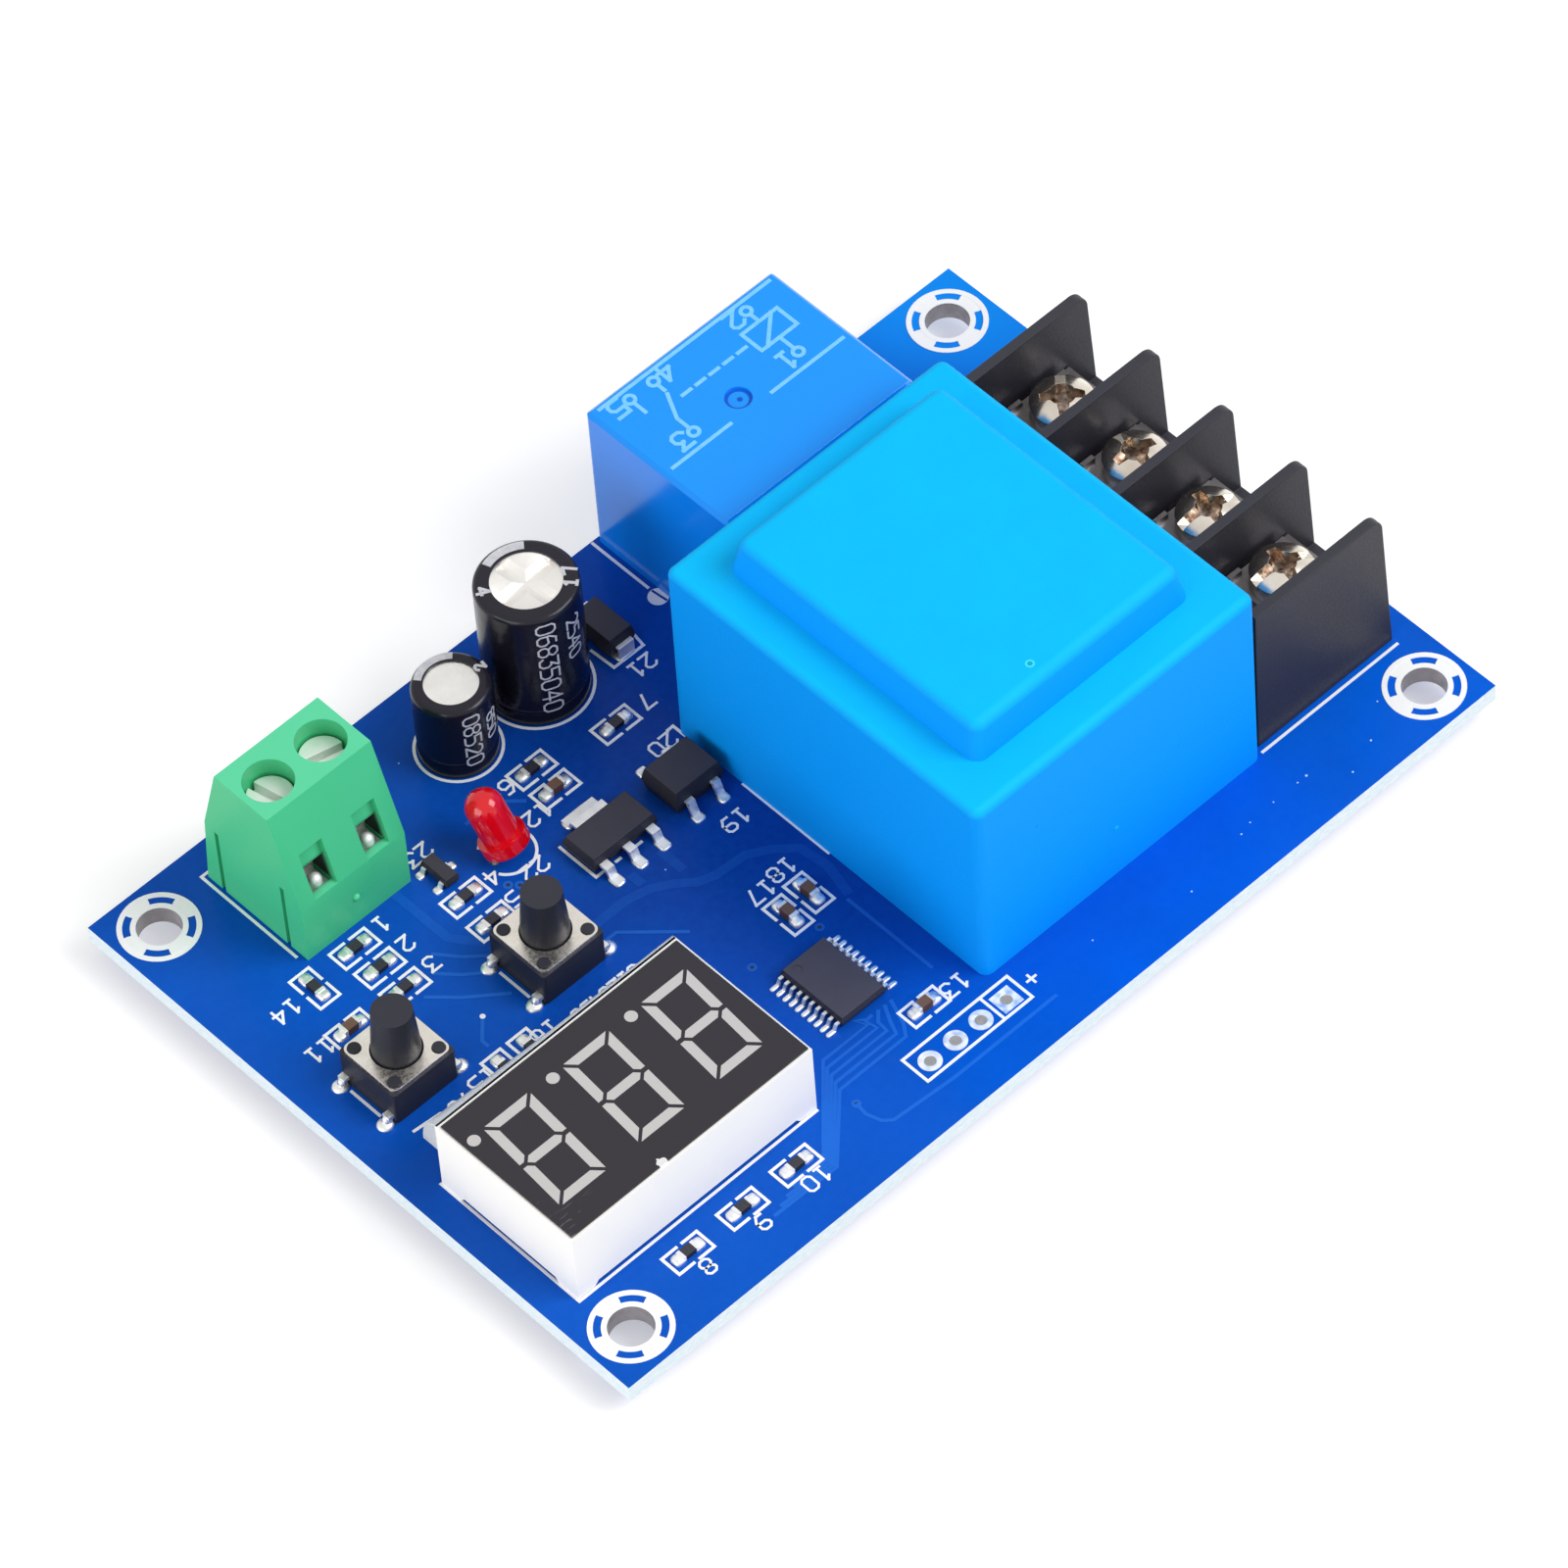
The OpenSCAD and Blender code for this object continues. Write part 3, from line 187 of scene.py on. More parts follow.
def close_finish(material, looks, dent=None):
    """Ends a material in one shader; a dent is a height, its strength and its depth in millimetres."""
    tree = material.node_tree
    if dent:
        skin = {"Height": dent[0], "Strength": dent[1], "Distance": dent[2] * MM}
        if "Normal" in looks:
            skin["Normal"] = looks["Normal"]
        looks["Normal"] = add(tree, "ShaderNodeBump", skin)
    shader = add(tree, "ShaderNodeBsdfPrincipled", looks)
    add(tree, "ShaderNodeOutputMaterial", {"Surface": shader})
    return material


def grain(tree, where, size, low, high, detail=3.0):
    """A noise with features of a size in millimetres, and the same noise spread between two values."""
    noise = add(tree, "ShaderNodeTexNoise", {"Vector": where, "Scale": 1.0 / (size * MM), "Detail": detail})
    spread = add(tree, "ShaderNodeMapRange", {
        "Value": noise, "From Min": 0.3, "From Max": 0.7, "To Min": low, "To Max": high})
    return noise, spread


def face_rise(tree):
    """How far a face looks up."""
    normal = add(tree, "ShaderNodeNewGeometry").outputs["Normal"]
    return add(tree, "ShaderNodeSeparateXYZ", {"Vector": normal}).outputs["Z"]


def wire_way(tree, where):
    """How far a spot lies down one of the green terminal's two wire ways, behind its sloped front: the mask
    for the painted shade there.
    """
    local = add(tree, "ShaderNodeVectorMath", {
        0: where, 1: tuple(spot(*WIRE_TERMINAL))}, operation="SUBTRACT")
    local = add(tree, "ShaderNodeVectorMath", {
        0: local, 1: (WIRE_PITCH * MM, 1.0, 1.0), 2: (0.0, -1.0, -1.0)}, operation="WRAP")
    parts = add(tree, "ShaderNodeSeparateXYZ", {"Vector": local}).outputs
    depth = add(tree, "ShaderNodeVectorMath", {
        0: local, 1: (0.0, 1.0, -WIRE_SLOPE)}, operation="DOT_PRODUCT").outputs["Value"]
    deep = add(tree, "ShaderNodeMapRange", {
        "Value": depth, "From Min": (WIRE_FRONT + 0.3) * MM, "From Max": (WIRE_FRONT + 1.1) * MM}, **EASED)
    for part, (middle, half) in WIRE_WAY.items():
        inside = add(tree, "ShaderNodeMath", {
            0: parts[part], 1: middle * MM, 2: half * MM}, operation="COMPARE")
        deep = add(tree, "ShaderNodeMath", {0: deep, 1: inside}, operation="MULTIPLY")
    return deep


def moulded(name, face, top, rough, texture, bump, gloss=0.25, shade_mask=None):
    """A moulded plastic: upward faces take a painted top light, a colour of their own for how light falls on
    them, and a spark texture breaks the gloss.
    The texture is drawn coarser than a real one, so that it shows."""
    material, tree, where = open_finish(name)
    height, rough_share = grain(tree, where, texture, rough * 0.85, rough * 1.2)
    # Painted top light: the colour leans from the side colour to the top colour as a face turns up
    painted_top_light = add(tree, "ShaderNodeMapRange", {"Value": face_rise(tree), "From Min": 0.15, "From Max": 0.95})
    colour = add(tree, "ShaderNodeMix", {0: painted_top_light, 6: face, 7: top}, **MIXED).outputs[2]
    _, cloud = grain(tree, where, texture * 30, 0.0, 0.12, 2.0)
    shade = add(tree, "ShaderNodeMix", {0: cloud, 6: colour, 7: face}, **MIXED).outputs[2]
    # Painted shade: spots that the shade mask marks are darkened to near black green
    if shade_mask:
        dark = shade_mask(tree, where)
        shade = add(tree, "ShaderNodeMix", {0: dark, 6: shade, 7: "#0C1F16"}, **MIXED).outputs[2]
    looks = {"Base Color": shade, "Roughness": rough_share, "Specular IOR Level": gloss}
    return close_finish(material, looks, (height, bump, texture * 0.5))


def plated(name, colour, dark, rough, texture, bump, metal=1.0):
    """A plated or tinned metal: bright, with small dull patches and a faintly uneven skin."""
    material, tree, where = open_finish(name)
    height, rough_share = grain(tree, where, texture, rough * 0.7, rough * 1.5)
    _, patch = grain(tree, where, texture * 4, 0.0, 0.55)
    shade = add(tree, "ShaderNodeMix", {0: patch, 6: colour, 7: dark}, **MIXED).outputs[2]
    looks = {"Base Color": shade, "Metallic": metal, "Roughness": rough_share}
    return close_finish(material, looks, (height, bump, texture * 0.4))


def printed(name, colour, worn, rough=0.55, gloss=0.2):
    """A printed ink or settled lint: nearly even, a little thin in small spots."""
    material, tree, where = open_finish(name)
    height, thin = grain(tree, where, 0.35, 0.0, 0.5)
    shade = add(tree, "ShaderNodeMix", {0: thin, 6: colour, 7: worn}, **MIXED).outputs[2]
    looks = {"Base Color": shade, "Roughness": rough, "Specular IOR Level": gloss}
    return close_finish(material, looks, (height, 0.1, 0.01))


def mask_colour(tree, where):
    """Blue solder mask with painted light and shade: painted lighter towards the front right and at the back
    right corner, and a painted shadow beside the transformer.
    """
    along = add(tree, "ShaderNodeVectorMath", {
        0: where, 1: (0.7, -0.7, 0.0)}, operation="DOT_PRODUCT").outputs["Value"]
    painted_front_light = add(tree, "ShaderNodeMapRange", {
        "Value": along, "From Min": -8 * MM, "From Max": 30 * MM}, **EASED)
    shadow_place = add(tree, "ShaderNodeMapping", {
        "Vector": where, "Location": (-4 * MM, 6 * MM, 0.0), "Scale": (20 * MM, 29 * MM, 1.0)},
        vector_type="TEXTURE")
    away = add(tree, "ShaderNodeVectorMath", {0: shadow_place}, operation="LENGTH").outputs["Value"]
    painted_shadow = add(tree, "ShaderNodeMapRange", {
        "Value": away, "From Min": 0.2, "From Max": 1.25, "To Min": 0.85, "To Max": 0.0}, **EASED)
    corner = add(tree, "ShaderNodeVectorMath", {
        0: where, 1: (board_high[0], board_high[1], BOARD_TOP)}, operation="DISTANCE").outputs["Value"]
    painted_corner_light = add(tree, "ShaderNodeMapRange", {
        "Value": corner, "From Min": 5 * MM, "From Max": 17 * MM, "To Min": 0.8, "To Max": 0.0}, **EASED)
    _, depth = grain(tree, where, 9.0, 0.0, 0.4, 2.0)
    _, weave = grain(tree, where, 0.6, 0.0, 0.1)
    # Painted light towards the front right and at the back right corner, and painted shadow beside the
    # transformer; the grain and weave layers are the mask's own tone
    mask = add(tree, "ShaderNodeMix", {0: painted_front_light, 6: "#0A55C0", 7: "#005FDC"}, **MIXED).outputs[2]
    for share, shade in [(painted_shadow, "#0A3B94"), (depth, "#0A48AC"), (painted_corner_light, "#0C98FF"), (weave, "#1E6FE0")]:
        mask = add(tree, "ShaderNodeMix", {0: share, 6: mask, 7: shade}, **MIXED).outputs[2]
    return mask


def masked_laminate():
    """Glossy blue solder mask over glass laminate, with pale sawn glass at the edges."""
    material, tree, where = open_finish("solder_mask_on_glass_laminate")
    level = add(tree, "ShaderNodeMath", {0: face_rise(tree)}, operation="ABSOLUTE")
    face = add(tree, "ShaderNodeMath", {0: level, 1: 0.5}, operation="GREATER_THAN")
    stretch = add(tree, "ShaderNodeMapping", {"Vector": where, "Scale": (1.0, 1.0, 6.0)})
    _, fibre = grain(tree, stretch, 0.5, 0.0, 1.0)
    sawn = add(tree, "ShaderNodeMix", {0: fibre, 6: "#F4F9FB", 7: "#D2E6F1"}, **MIXED).outputs[2]
    colour = add(tree, "ShaderNodeMix", {0: face, 6: sawn, 7: mask_colour(tree, where)}, **MIXED).outputs[2]
    skin, rough_share = grain(tree, where, 1.4, 0.16, 0.26)
    rough = add(tree, "ShaderNodeMapRange", {"Value": face, "To Min": 0.75, "To Max": rough_share})
    looks = {"Base Color": colour, "Roughness": rough, "Specular IOR Level": 0.07}
    return close_finish(material, looks, (skin, 0.06, 0.05))


def masked_copper(name, lift):
    """Copper under the mask: a slightly raised line, a little lighter than the laminate beside it."""
    material, tree, where = open_finish(name)
    mask = mask_colour(tree, where)
    colour = add(tree, "ShaderNodeMix", {0: lift, 6: mask, 7: "#3A8CF0"}, **MIXED).outputs[2]
    return close_finish(material, {"Base Color": colour, "Roughness": 0.2, "Specular IOR Level": 0.07})


def face_film():
    """Satin black face film, rubbed pale near its front left corner and chipped white at its front edge."""
    material, tree, where = open_finish("printed_polyester_film")
    low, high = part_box("display_face")
    away = add(tree, "ShaderNodeVectorMath", {
        0: where, 1: (low[0], low[1], high[2])}, operation="DISTANCE").outputs["Value"]
    near = add(tree, "ShaderNodeMapRange", {
        "Value": away, "From Min": 0.5 * MM, "From Max": 4.5 * MM, "To Min": 0.25, "To Max": 0.0})
    turned = add(tree, "ShaderNodeMapping", {
        "Vector": where, "Rotation": (0.0, 0.0, 0.7), "Scale": (0.12, 1.0, 1.0)})
    _, line = grain(tree, turned, 0.16, -4.0, 1.0, 2.0)
    rubbed = add(tree, "ShaderNodeMath", {0: line, 1: near}, operation="MULTIPLY", use_clamp=True)
    ragged, rough_share = grain(tree, where, 0.25, 0.3, 0.42)
    chip = add(tree, "ShaderNodeVectorMath", {
        0: where, 1: tuple(spot(*CHIPPED_PLACE))}, operation="DISTANCE").outputs["Value"]
    edge = add(tree, "ShaderNodeMath", {0: ragged, 1: 0.5 * MM, 2: chip}, operation="MULTIPLY_ADD")
    chipped = add(tree, "ShaderNodeMath", {0: edge, 1: 0.62 * MM}, operation="LESS_THAN")
    colour = add(tree, "ShaderNodeMix", {0: rubbed, 6: "#29262D", 7: "#B9B4BC"}, **MIXED).outputs[2]
    shade = add(tree, "ShaderNodeMix", {0: chipped, 6: colour, 7: "#E8E8E6"}, **MIXED).outputs[2]
    looks = {"Base Color": shade, "Roughness": rough_share, "Specular IOR Level": 0.4}
    return close_finish(material, looks, (ragged, 0.08, 0.02))


def lamp_resin():
    """Red tinted cast epoxy: light goes in and glows at the rim."""
    material, tree, where = open_finish("cast_epoxy_red")
    _, cloud = grain(tree, where, 1.2, 0.0, 0.4)
    colour = add(tree, "ShaderNodeMix", {0: cloud, 6: "#FF0A22", 7: "#E0041A"}, **MIXED).outputs[2]
    return close_finish(material, {
        "Base Color": colour, "Roughness": 0.08, "IOR": 1.54, "Transmission Weight": 0.3,
        "Subsurface Weight": 0.35, "Subsurface Radius": (0.002, 0.0004, 0.0004), "Subsurface Scale": 0.5})


def scored_lid():
    """Drawn aluminium whose lid bulges a little between the two lines of its safety score."""
    material, tree, where = open_finish("aluminium_drawn_scored")
    low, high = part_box("large_capacitor_can")
    local = add(tree, "ShaderNodeMapping", {
        "Vector": where, "Location": top_middle(low, high), "Rotation": (0.0, 0.0, math.radians(SCORE_TURN)),
        "Scale": ((high[0] - low[0]) / 2,) * 3}, vector_type="TEXTURE")
    parts = add(tree, "ShaderNodeSeparateXYZ", {"Vector": local}).outputs
    product = add(tree, "ShaderNodeMath", {0: parts["X"], 1: parts["Y"]}, operation="MULTIPLY")
    bulge = add(tree, "ShaderNodeMath", {0: product}, operation="ABSOLUTE")
    form = add(tree, "ShaderNodeBump", {"Height": bulge, "Strength": 1.0, "Distance": 1.7 * MM})
    height, rough_share = grain(tree, where, 0.3, 0.42, 0.55)
    looks = {"Base Color": "#F4F1EC", "Metallic": 1.0, "Roughness": rough_share, "Normal": form}
    return close_finish(material, looks, (height, 0.06, 0.1))


def recessed_screw():
    """Nickel plated steel with a painted brown shade down in the cross of each head, broken by painted
    glints.
    """
    material, tree, where = open_finish("nickel_plated_steel_painted_recess_shade")
    low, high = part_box("barrier_screw_1")
    half = BARRIER_PITCH / 2 * MM
    local = add(tree, "ShaderNodeVectorMath", {0: where, 1: top_middle(low, high)}, operation="SUBTRACT")
    local = add(tree, "ShaderNodeVectorMath", {
        0: local, 1: (1.0, half, 1.0), 2: (-1.0, -half, -1.0)}, operation="WRAP")
    side = add(tree, "ShaderNodeVectorMath", {0: local, 1: (1.0, 1.0, 0.0)}, operation="MULTIPLY")
    reach = add(tree, "ShaderNodeVectorMath", {0: side}, operation="LENGTH").outputs["Value"]
    fall = add(tree, "ShaderNodeMath", {0: reach, 1: 2.0}, operation="POWER")
    level = add(tree, "ShaderNodeSeparateXYZ", {"Vector": local}).outputs["Z"]
    # The dome falls by its reach squared over twice its ball's radius
    depth = add(tree, "ShaderNodeMath", {
        0: fall, 1: 1 / (HEAD_BALL * MM), 2: level}, operation="MULTIPLY_ADD")
    deep = add(tree, "ShaderNodeMapRange", {
        "Value": depth, "From Min": -0.45 * MM, "From Max": -1.15 * MM}, **EASED)
    inside = add(tree, "ShaderNodeMath", {0: reach, 1: CROSS_REACH * MM}, operation="LESS_THAN")
    painted_recess_shade = add(tree, "ShaderNodeMath", {0: deep, 1: inside}, operation="MULTIPLY")
    # Noise lets the plate colour through the painted shade in spots, as painted glints
    _, painted_glint = grain(tree, where, 0.5, 0.35, 1.1)
    painted_recess_shade = add(tree, "ShaderNodeMath", {0: painted_recess_shade, 1: painted_glint}, operation="MULTIPLY", use_clamp=True)
    height, rough_share = grain(tree, where, 0.8, 0.16, 0.3)
    _, patch = grain(tree, where, 2.4, 0.0, 0.6)
    plate = add(tree, "ShaderNodeMix", {0: patch, 6: "#F1EADF", 7: "#CBBBA6"}, **MIXED).outputs[2]
    # The brown is painted shade and reflection down in the cross
    shade = add(tree, "ShaderNodeMix", {0: painted_recess_shade, 6: plate, 7: "#6A4836"}, **MIXED).outputs[2]
    bright = add(tree, "ShaderNodeMapRange", {"Value": painted_recess_shade, "To Min": 1.0, "To Max": 0.8})
    looks = {"Base Color": shade, "Metallic": bright, "Roughness": rough_share}
    return close_finish(material, looks, (height, 0.05, 0.2))


def set_silicone():
    """A clear silicone bead: milky, with the board's blue coming through."""
    material, tree, where = open_finish("silicone_set_milky")
    height, rough_share = grain(tree, where, 0.8, 0.25, 0.4)
    looks = {"Base Color": "#EEF2F6", "Roughness": rough_share, "IOR": 1.41, "Transmission Weight": 0.45}
    return close_finish(material, looks, (height, 0.2, 0.1))


finishes = {
    "board_laminate": masked_laminate(),
    "copper": masked_copper("solder_mask_over_copper_line", 0.3),
    "broad_copper": masked_copper("solder_mask_over_copper_strip", 0.1),
    # In each moulded finish, the second colour is the painted top light of upward faces
    "transformer_plastic": moulded("abs_spark_textured_azure", "#009CFC", "#02C0FC", 0.6, 0.12, 0.25, 0.12),
    # The mould mark's pale rim is a painted highlight and its dark middle a painted shade
    "case_mark_painted_highlight": moulded("abs_mark_painted_highlight", "#2FD8FF", "#3BE2FF", 0.5, 0.12, 0.1),
    "case_mark_painted_shade": moulded("abs_mark_painted_shade", "#0493BE", "#0AA6CE", 0.6, 0.12, 0.1),
    "relay_plastic": moulded("pbt_polished_blue", "#0A88F8", "#0097FC", 0.16, 0.3, 0.04, 0.35),
    # A darker blue, laid in the relay's mould dimple as painted shade
    "relay_dimple_painted_shade": moulded("pbt_blue_painted_dimple_shade", "#0A58BE", "#0A5FCB", 0.3, 0.3, 0.04),
    "barrier_plastic": moulded("phenolic_moulded_charcoal", "#2A2A31", "#3A3A42", 0.42, 0.2, 0.15),
    # The green terminal takes painted shade down its two wire ways
    "green_plastic": moulded("polyamide_moulded_green", "#45C287", "#5FD6A3", 0.4, 0.15, 0.15,
                             shade_mask=wire_way),
    "display_plastic": moulded("abs_moulded_white", "#FFFEFA", "#FAF9F4", 0.45, 0.15, 0.15),
    "display_film": face_film(),
    "bead": set_silicone(),
    "segment_resin": moulded("epoxy_cast_diffuser", "#B9B6B4", "#C8C5C3", 0.35, 0.12, 0.2),
    "sleeve_film": moulded("pvc_shrunk_sleeve", "#171620", "#22202A", 0.22, 0.6, 0.08, 0.28),
    "moulded_epoxy": moulded("epoxy_transfer_moulded", "#2B2A31", "#3E3C45", 0.5, 0.1, 0.35),
    "fine_epoxy": moulded("epoxy_transfer_moulded_fine", "#2E2D35", "#4C4A56", 0.4, 0.06, 0.2),
    "resistor_glaze": moulded("glass_fired_black", "#232228", "#3A3940", 0.25, 0.2, 0.05),
    "capacitor_ceramic": moulded("ceramic_fired_brown", "#5A4034", "#74584A", 0.5, 0.15, 0.1),
    "button_plastic": moulded("polyamide_moulded_black", "#24252C", "#33333C", 0.42, 0.12, 0.2),
    "lamp_resin": lamp_resin(),
    "can_aluminium": plated("aluminium_drawn", "#FAF8F5", "#E8E4DE", 0.32, 0.3, 0.08),
    "scored_lid": scored_lid(),
    "tinned_lead": plated("tin_dipped", "#FAFAF8", "#DCDBDA", 0.46, 0.35, 0.03),
    "pad": plated("tin_levelled", "#FAFBFC", "#E9ECEF", 0.55, 0.5, 0.03),
    "solder": plated("solder_reflowed", "#FBFBF9", "#DFDEDC", 0.4, 0.5, 0.04),
    # The nickel plate's colour is darkened as painted shade for the contacts down in the barrier's bays
    "nickel_plate": plated("nickel_plated_brass_painted_shade", "#A9A4A6", "#6F6868", 0.34, 0.8, 0.04),
    "nickel_screw": recessed_screw(),
    "wire_screw": plated("zinc_plated_steel", "#FFFFFD", "#F2F2EE", 0.42, 0.6, 0.04, 0.45),
    "button_cover_metal": plated("steel_stamped_plated", "#F2ECE3", "#E0D9CE", 0.26, 0.25, 0.03),
    "silk": printed("ink_screen_printed_white", "#FFFFFF", "#F6FAFD", 0.3, 0.8),
    "relay_ink": printed("ink_pad_printed_pale", "#86D2FA", "#5FBDF8"),
    "can_ink": printed("ink_rolled_silver", "#D4D4D8", "#A2A2AC"),
    "dust": printed("lint_settled", "#C4DCF4", "#8FBDEB"),
}


# Geometry Nodes

def open_tree(name, **sizes):
    """A tree with a geometry input, named sizes and a finish."""
    tree = bpy.data.node_groups.new(name, "GeometryNodeTree")
    for title, kind in {"Paths": "Geometry", **sizes, "Finish": "Material"}.items():
        tree.interface.new_socket(title, in_out="INPUT", socket_type="NodeSocket" + kind)
    tree.interface.new_socket("Piece", in_out="OUTPUT", socket_type="NodeSocketGeometry")
    return tree, add(tree, "NodeGroupInput").outputs


def close_tree(tree, given, geometry):
    """Every tree ends in real geometry with its finish."""
    real = add(tree, "GeometryNodeRealizeInstances", {"Geometry": geometry})
    dressed = add(tree, "GeometryNodeSetMaterial", {"Geometry": real, "Material": given["Finish"]})
    add(tree, "NodeGroupOutput", {"Piece": dressed})
    return tree


def swept(tree, curve, width, height, caps):
    """A flat section drawn along a curve."""
    level = add(tree, "GeometryNodeSetCurveNormal", {"Curve": curve}, mode="Z_UP")
    section = add(tree, "GeometryNodeCurvePrimitiveQuadrilateral", {"Width": width, "Height": height})
    return add(tree, "GeometryNodeCurveToMesh", {"Curve": level, "Profile Curve": section, "Fill Caps": caps})


def line_tree():
    """A flat line of ink or copper along each path."""
    tree, given = open_tree("laid_line", Width="Float", Thickness="Float")
    path = add(tree, "GeometryNodeMeshToCurve", {"Mesh": given["Paths"]})
    return close_tree(tree, given, swept(tree, path, given["Width"], given["Thickness"], True))


def ring_tree():
    """A flat or tall ring on each point: pads, barrels and vias."""
    tree, given = open_tree("plated_ring", Radius="Float", Width="Float", Height="Float", Sides="Int")
    circle = add(tree, "GeometryNodeCurvePrimitiveCircle", {
        "Radius": given["Radius"], "Resolution": given["Sides"]})
    ring = swept(tree, circle, given["Width"], given["Height"], False)
    placed = add(tree, "GeometryNodeInstanceOnPoints", {"Points": given["Paths"], "Instance": ring})
    return close_tree(tree, given, placed)


def mound_tree():
    """A soft mound, round to squarish, on each point, as large as the point's own reach."""
    tree, given = open_tree("solder_mound", Around="Int", Rings="Int", Squareness="Float")
    ball = add(tree, "GeometryNodeMeshUVSphere", {
        "Segments": given["Around"], "Rings": given["Rings"], "Radius": 1.0})
    place = add(tree, "GeometryNodeInputPosition")
    square = add(tree, "ShaderNodeVectorMath", {0: place, 1: place}, operation="MULTIPLY")
    fourth = add(tree, "ShaderNodeVectorMath", {0: square, 1: square}, operation="MULTIPLY")
    total = add(tree, "ShaderNodeVectorMath", {
        0: fourth, 1: (1.0, 1.0, 0.3)}, operation="DOT_PRODUCT").outputs["Value"]
    swell = add(tree, "ShaderNodeMath", {0: total, 1: -0.25}, operation="POWER")
    swell = add(tree, "ShaderNodeMapRange", {
        "Value": given["Squareness"], "To Min": 1.0, "To Max": swell}, clamp=False)
    boxy = add(tree, "ShaderNodeVectorMath", {0: place, "Scale": swell}, operation="SCALE")
    shaped = add(tree, "GeometryNodeSetPosition", {"Geometry": ball, "Position": boxy})
    height = add(tree, "ShaderNodeSeparateXYZ", {"Vector": place}).outputs["Z"]
    under = add(tree, "ShaderNodeMath", {0: height, 1: -0.35}, operation="LESS_THAN")
    half = add(tree, "GeometryNodeDeleteGeometry", {"Geometry": shaped, "Selection": under})
    smooth = add(tree, "GeometryNodeSetShadeSmooth", {"Geometry": half})
    reach = add(tree, "GeometryNodeInputNamedAttribute", {"Name": "reach"}, data_type="FLOAT_VECTOR")
    placed = add(tree, "GeometryNodeInstanceOnPoints", {
        "Points": given["Paths"], "Instance": smooth, "Scale": reach})
    return close_tree(tree, given, placed)


LAID_LINE = line_tree()
PLATED_RING = ring_tree()
SOLDER_MOUND = mound_tree()


# Meshes and pieces

def show(name, mesh):
    """A finished mesh as an object at the origin."""
    piece = bpy.data.objects.new(name, mesh)
    bpy.context.scene.collection.objects.link(piece)
    return piece


def board_piece(name, mesh, slot, body="board"):
    """A new piece that rides on a body; its slot is not used."""
    piece = show(name, mesh)
    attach(piece, body)
    return piece


def outward(mesh):
    """Turns the faces of closed shells outwards."""
    form = bmesh.new()
    form.from_mesh(mesh)
    bmesh.ops.recalc_face_normals(form, faces=form.faces[:])
    form.to_mesh(mesh)
    form.free()


def flat_faced(mesh):
    """Keeps each face of thin flat work at its own plain shade."""
    for face in mesh.polygons:
        face.use_smooth = False
    return mesh


def grow(name, tree, mesh, finish, **sizes):
    """Runs a tree on a mesh and keeps its result as a plain mesh."""
    base = show(name + "_base", mesh)
    maker = base.modifiers.new("maker", "NODES")
    maker.node_group = tree
    sizes["Finish"] = finishes[finish]
    for item in tree.interface.items_tree:
        if item.name in sizes:
            maker[item.identifier] = sizes[item.name]
    seen = base.evaluated_get(bpy.context.evaluated_depsgraph_get())
    made = bpy.data.meshes.new_from_object(seen)
    bpy.data.objects.remove(base)
    made.name = name
    outward(made)
    return made


def point_mesh(name, points, reach=None):
    """Loose points, each with its own reach where one is given."""
    mesh = bpy.data.meshes.new(name)
    mesh.from_pydata([tuple(p) for p in points], [], [])
    if reach:
        held = mesh.attributes.new("reach", "FLOAT_VECTOR", "POINT")
        for item, value in zip(held.data, reach):
            item.vector = value
    return mesh


def path_mesh(name, paths):
    """Open or closed polylines as edges."""
    points, edges = [], []
    for path in paths:
        first = len(points)
        closed = (path[0] - path[-1]).length < SAME_PLACE
        kept = path[:-1] if closed else path
        points += [tuple(p) for p in kept]
        edges += [(first + i, first + i + 1) for i in range(len(kept) - 1)]
        if closed:
            edges.append((len(points) - 1, first))
    mesh = bpy.data.meshes.new(name)
    mesh.from_pydata(points, edges, [])
    return mesh


SHARP_TURN = math.radians(50)


def strokes(points, width):
    """Splits a flat path at its sharp turns and runs each piece on by half a width, so that corners fill."""
    points = [Vector((p[0], p[1])) for p in points]
    runs, run = [], [points[0]]
    for i in range(1, len(points)):
        run.append(points[i])
        if i + 1 < len(points):
            turn = (points[i] - points[i - 1]).angle(points[i + 1] - points[i], 0.0)
            if turn > SHARP_TURN:
                runs.append(run)
                run = [points[i]]
    runs.append(run)
    closed = (points[0] - points[-1]).length < SAME_PLACE / MM
    if closed and len(runs) == 1:
        return runs
    for run in runs:
        run[0] = run[0] + (run[0] - run[1]).normalized() * width / 2
        run[-1] = run[-1] + (run[-1] - run[-2]).normalized() * width / 2
    return runs


def arc(x, y, r, start=0, end=360, steps=None):
    """Points on an arc, its angles in degrees."""
    steps = steps or max(4, int(abs(end - start) / 7))
    turns = [math.radians(start + (end - start) * i / steps) for i in range(steps + 1)]
    return [(x + r * math.cos(turn), y + r * math.sin(turn)) for turn in turns]


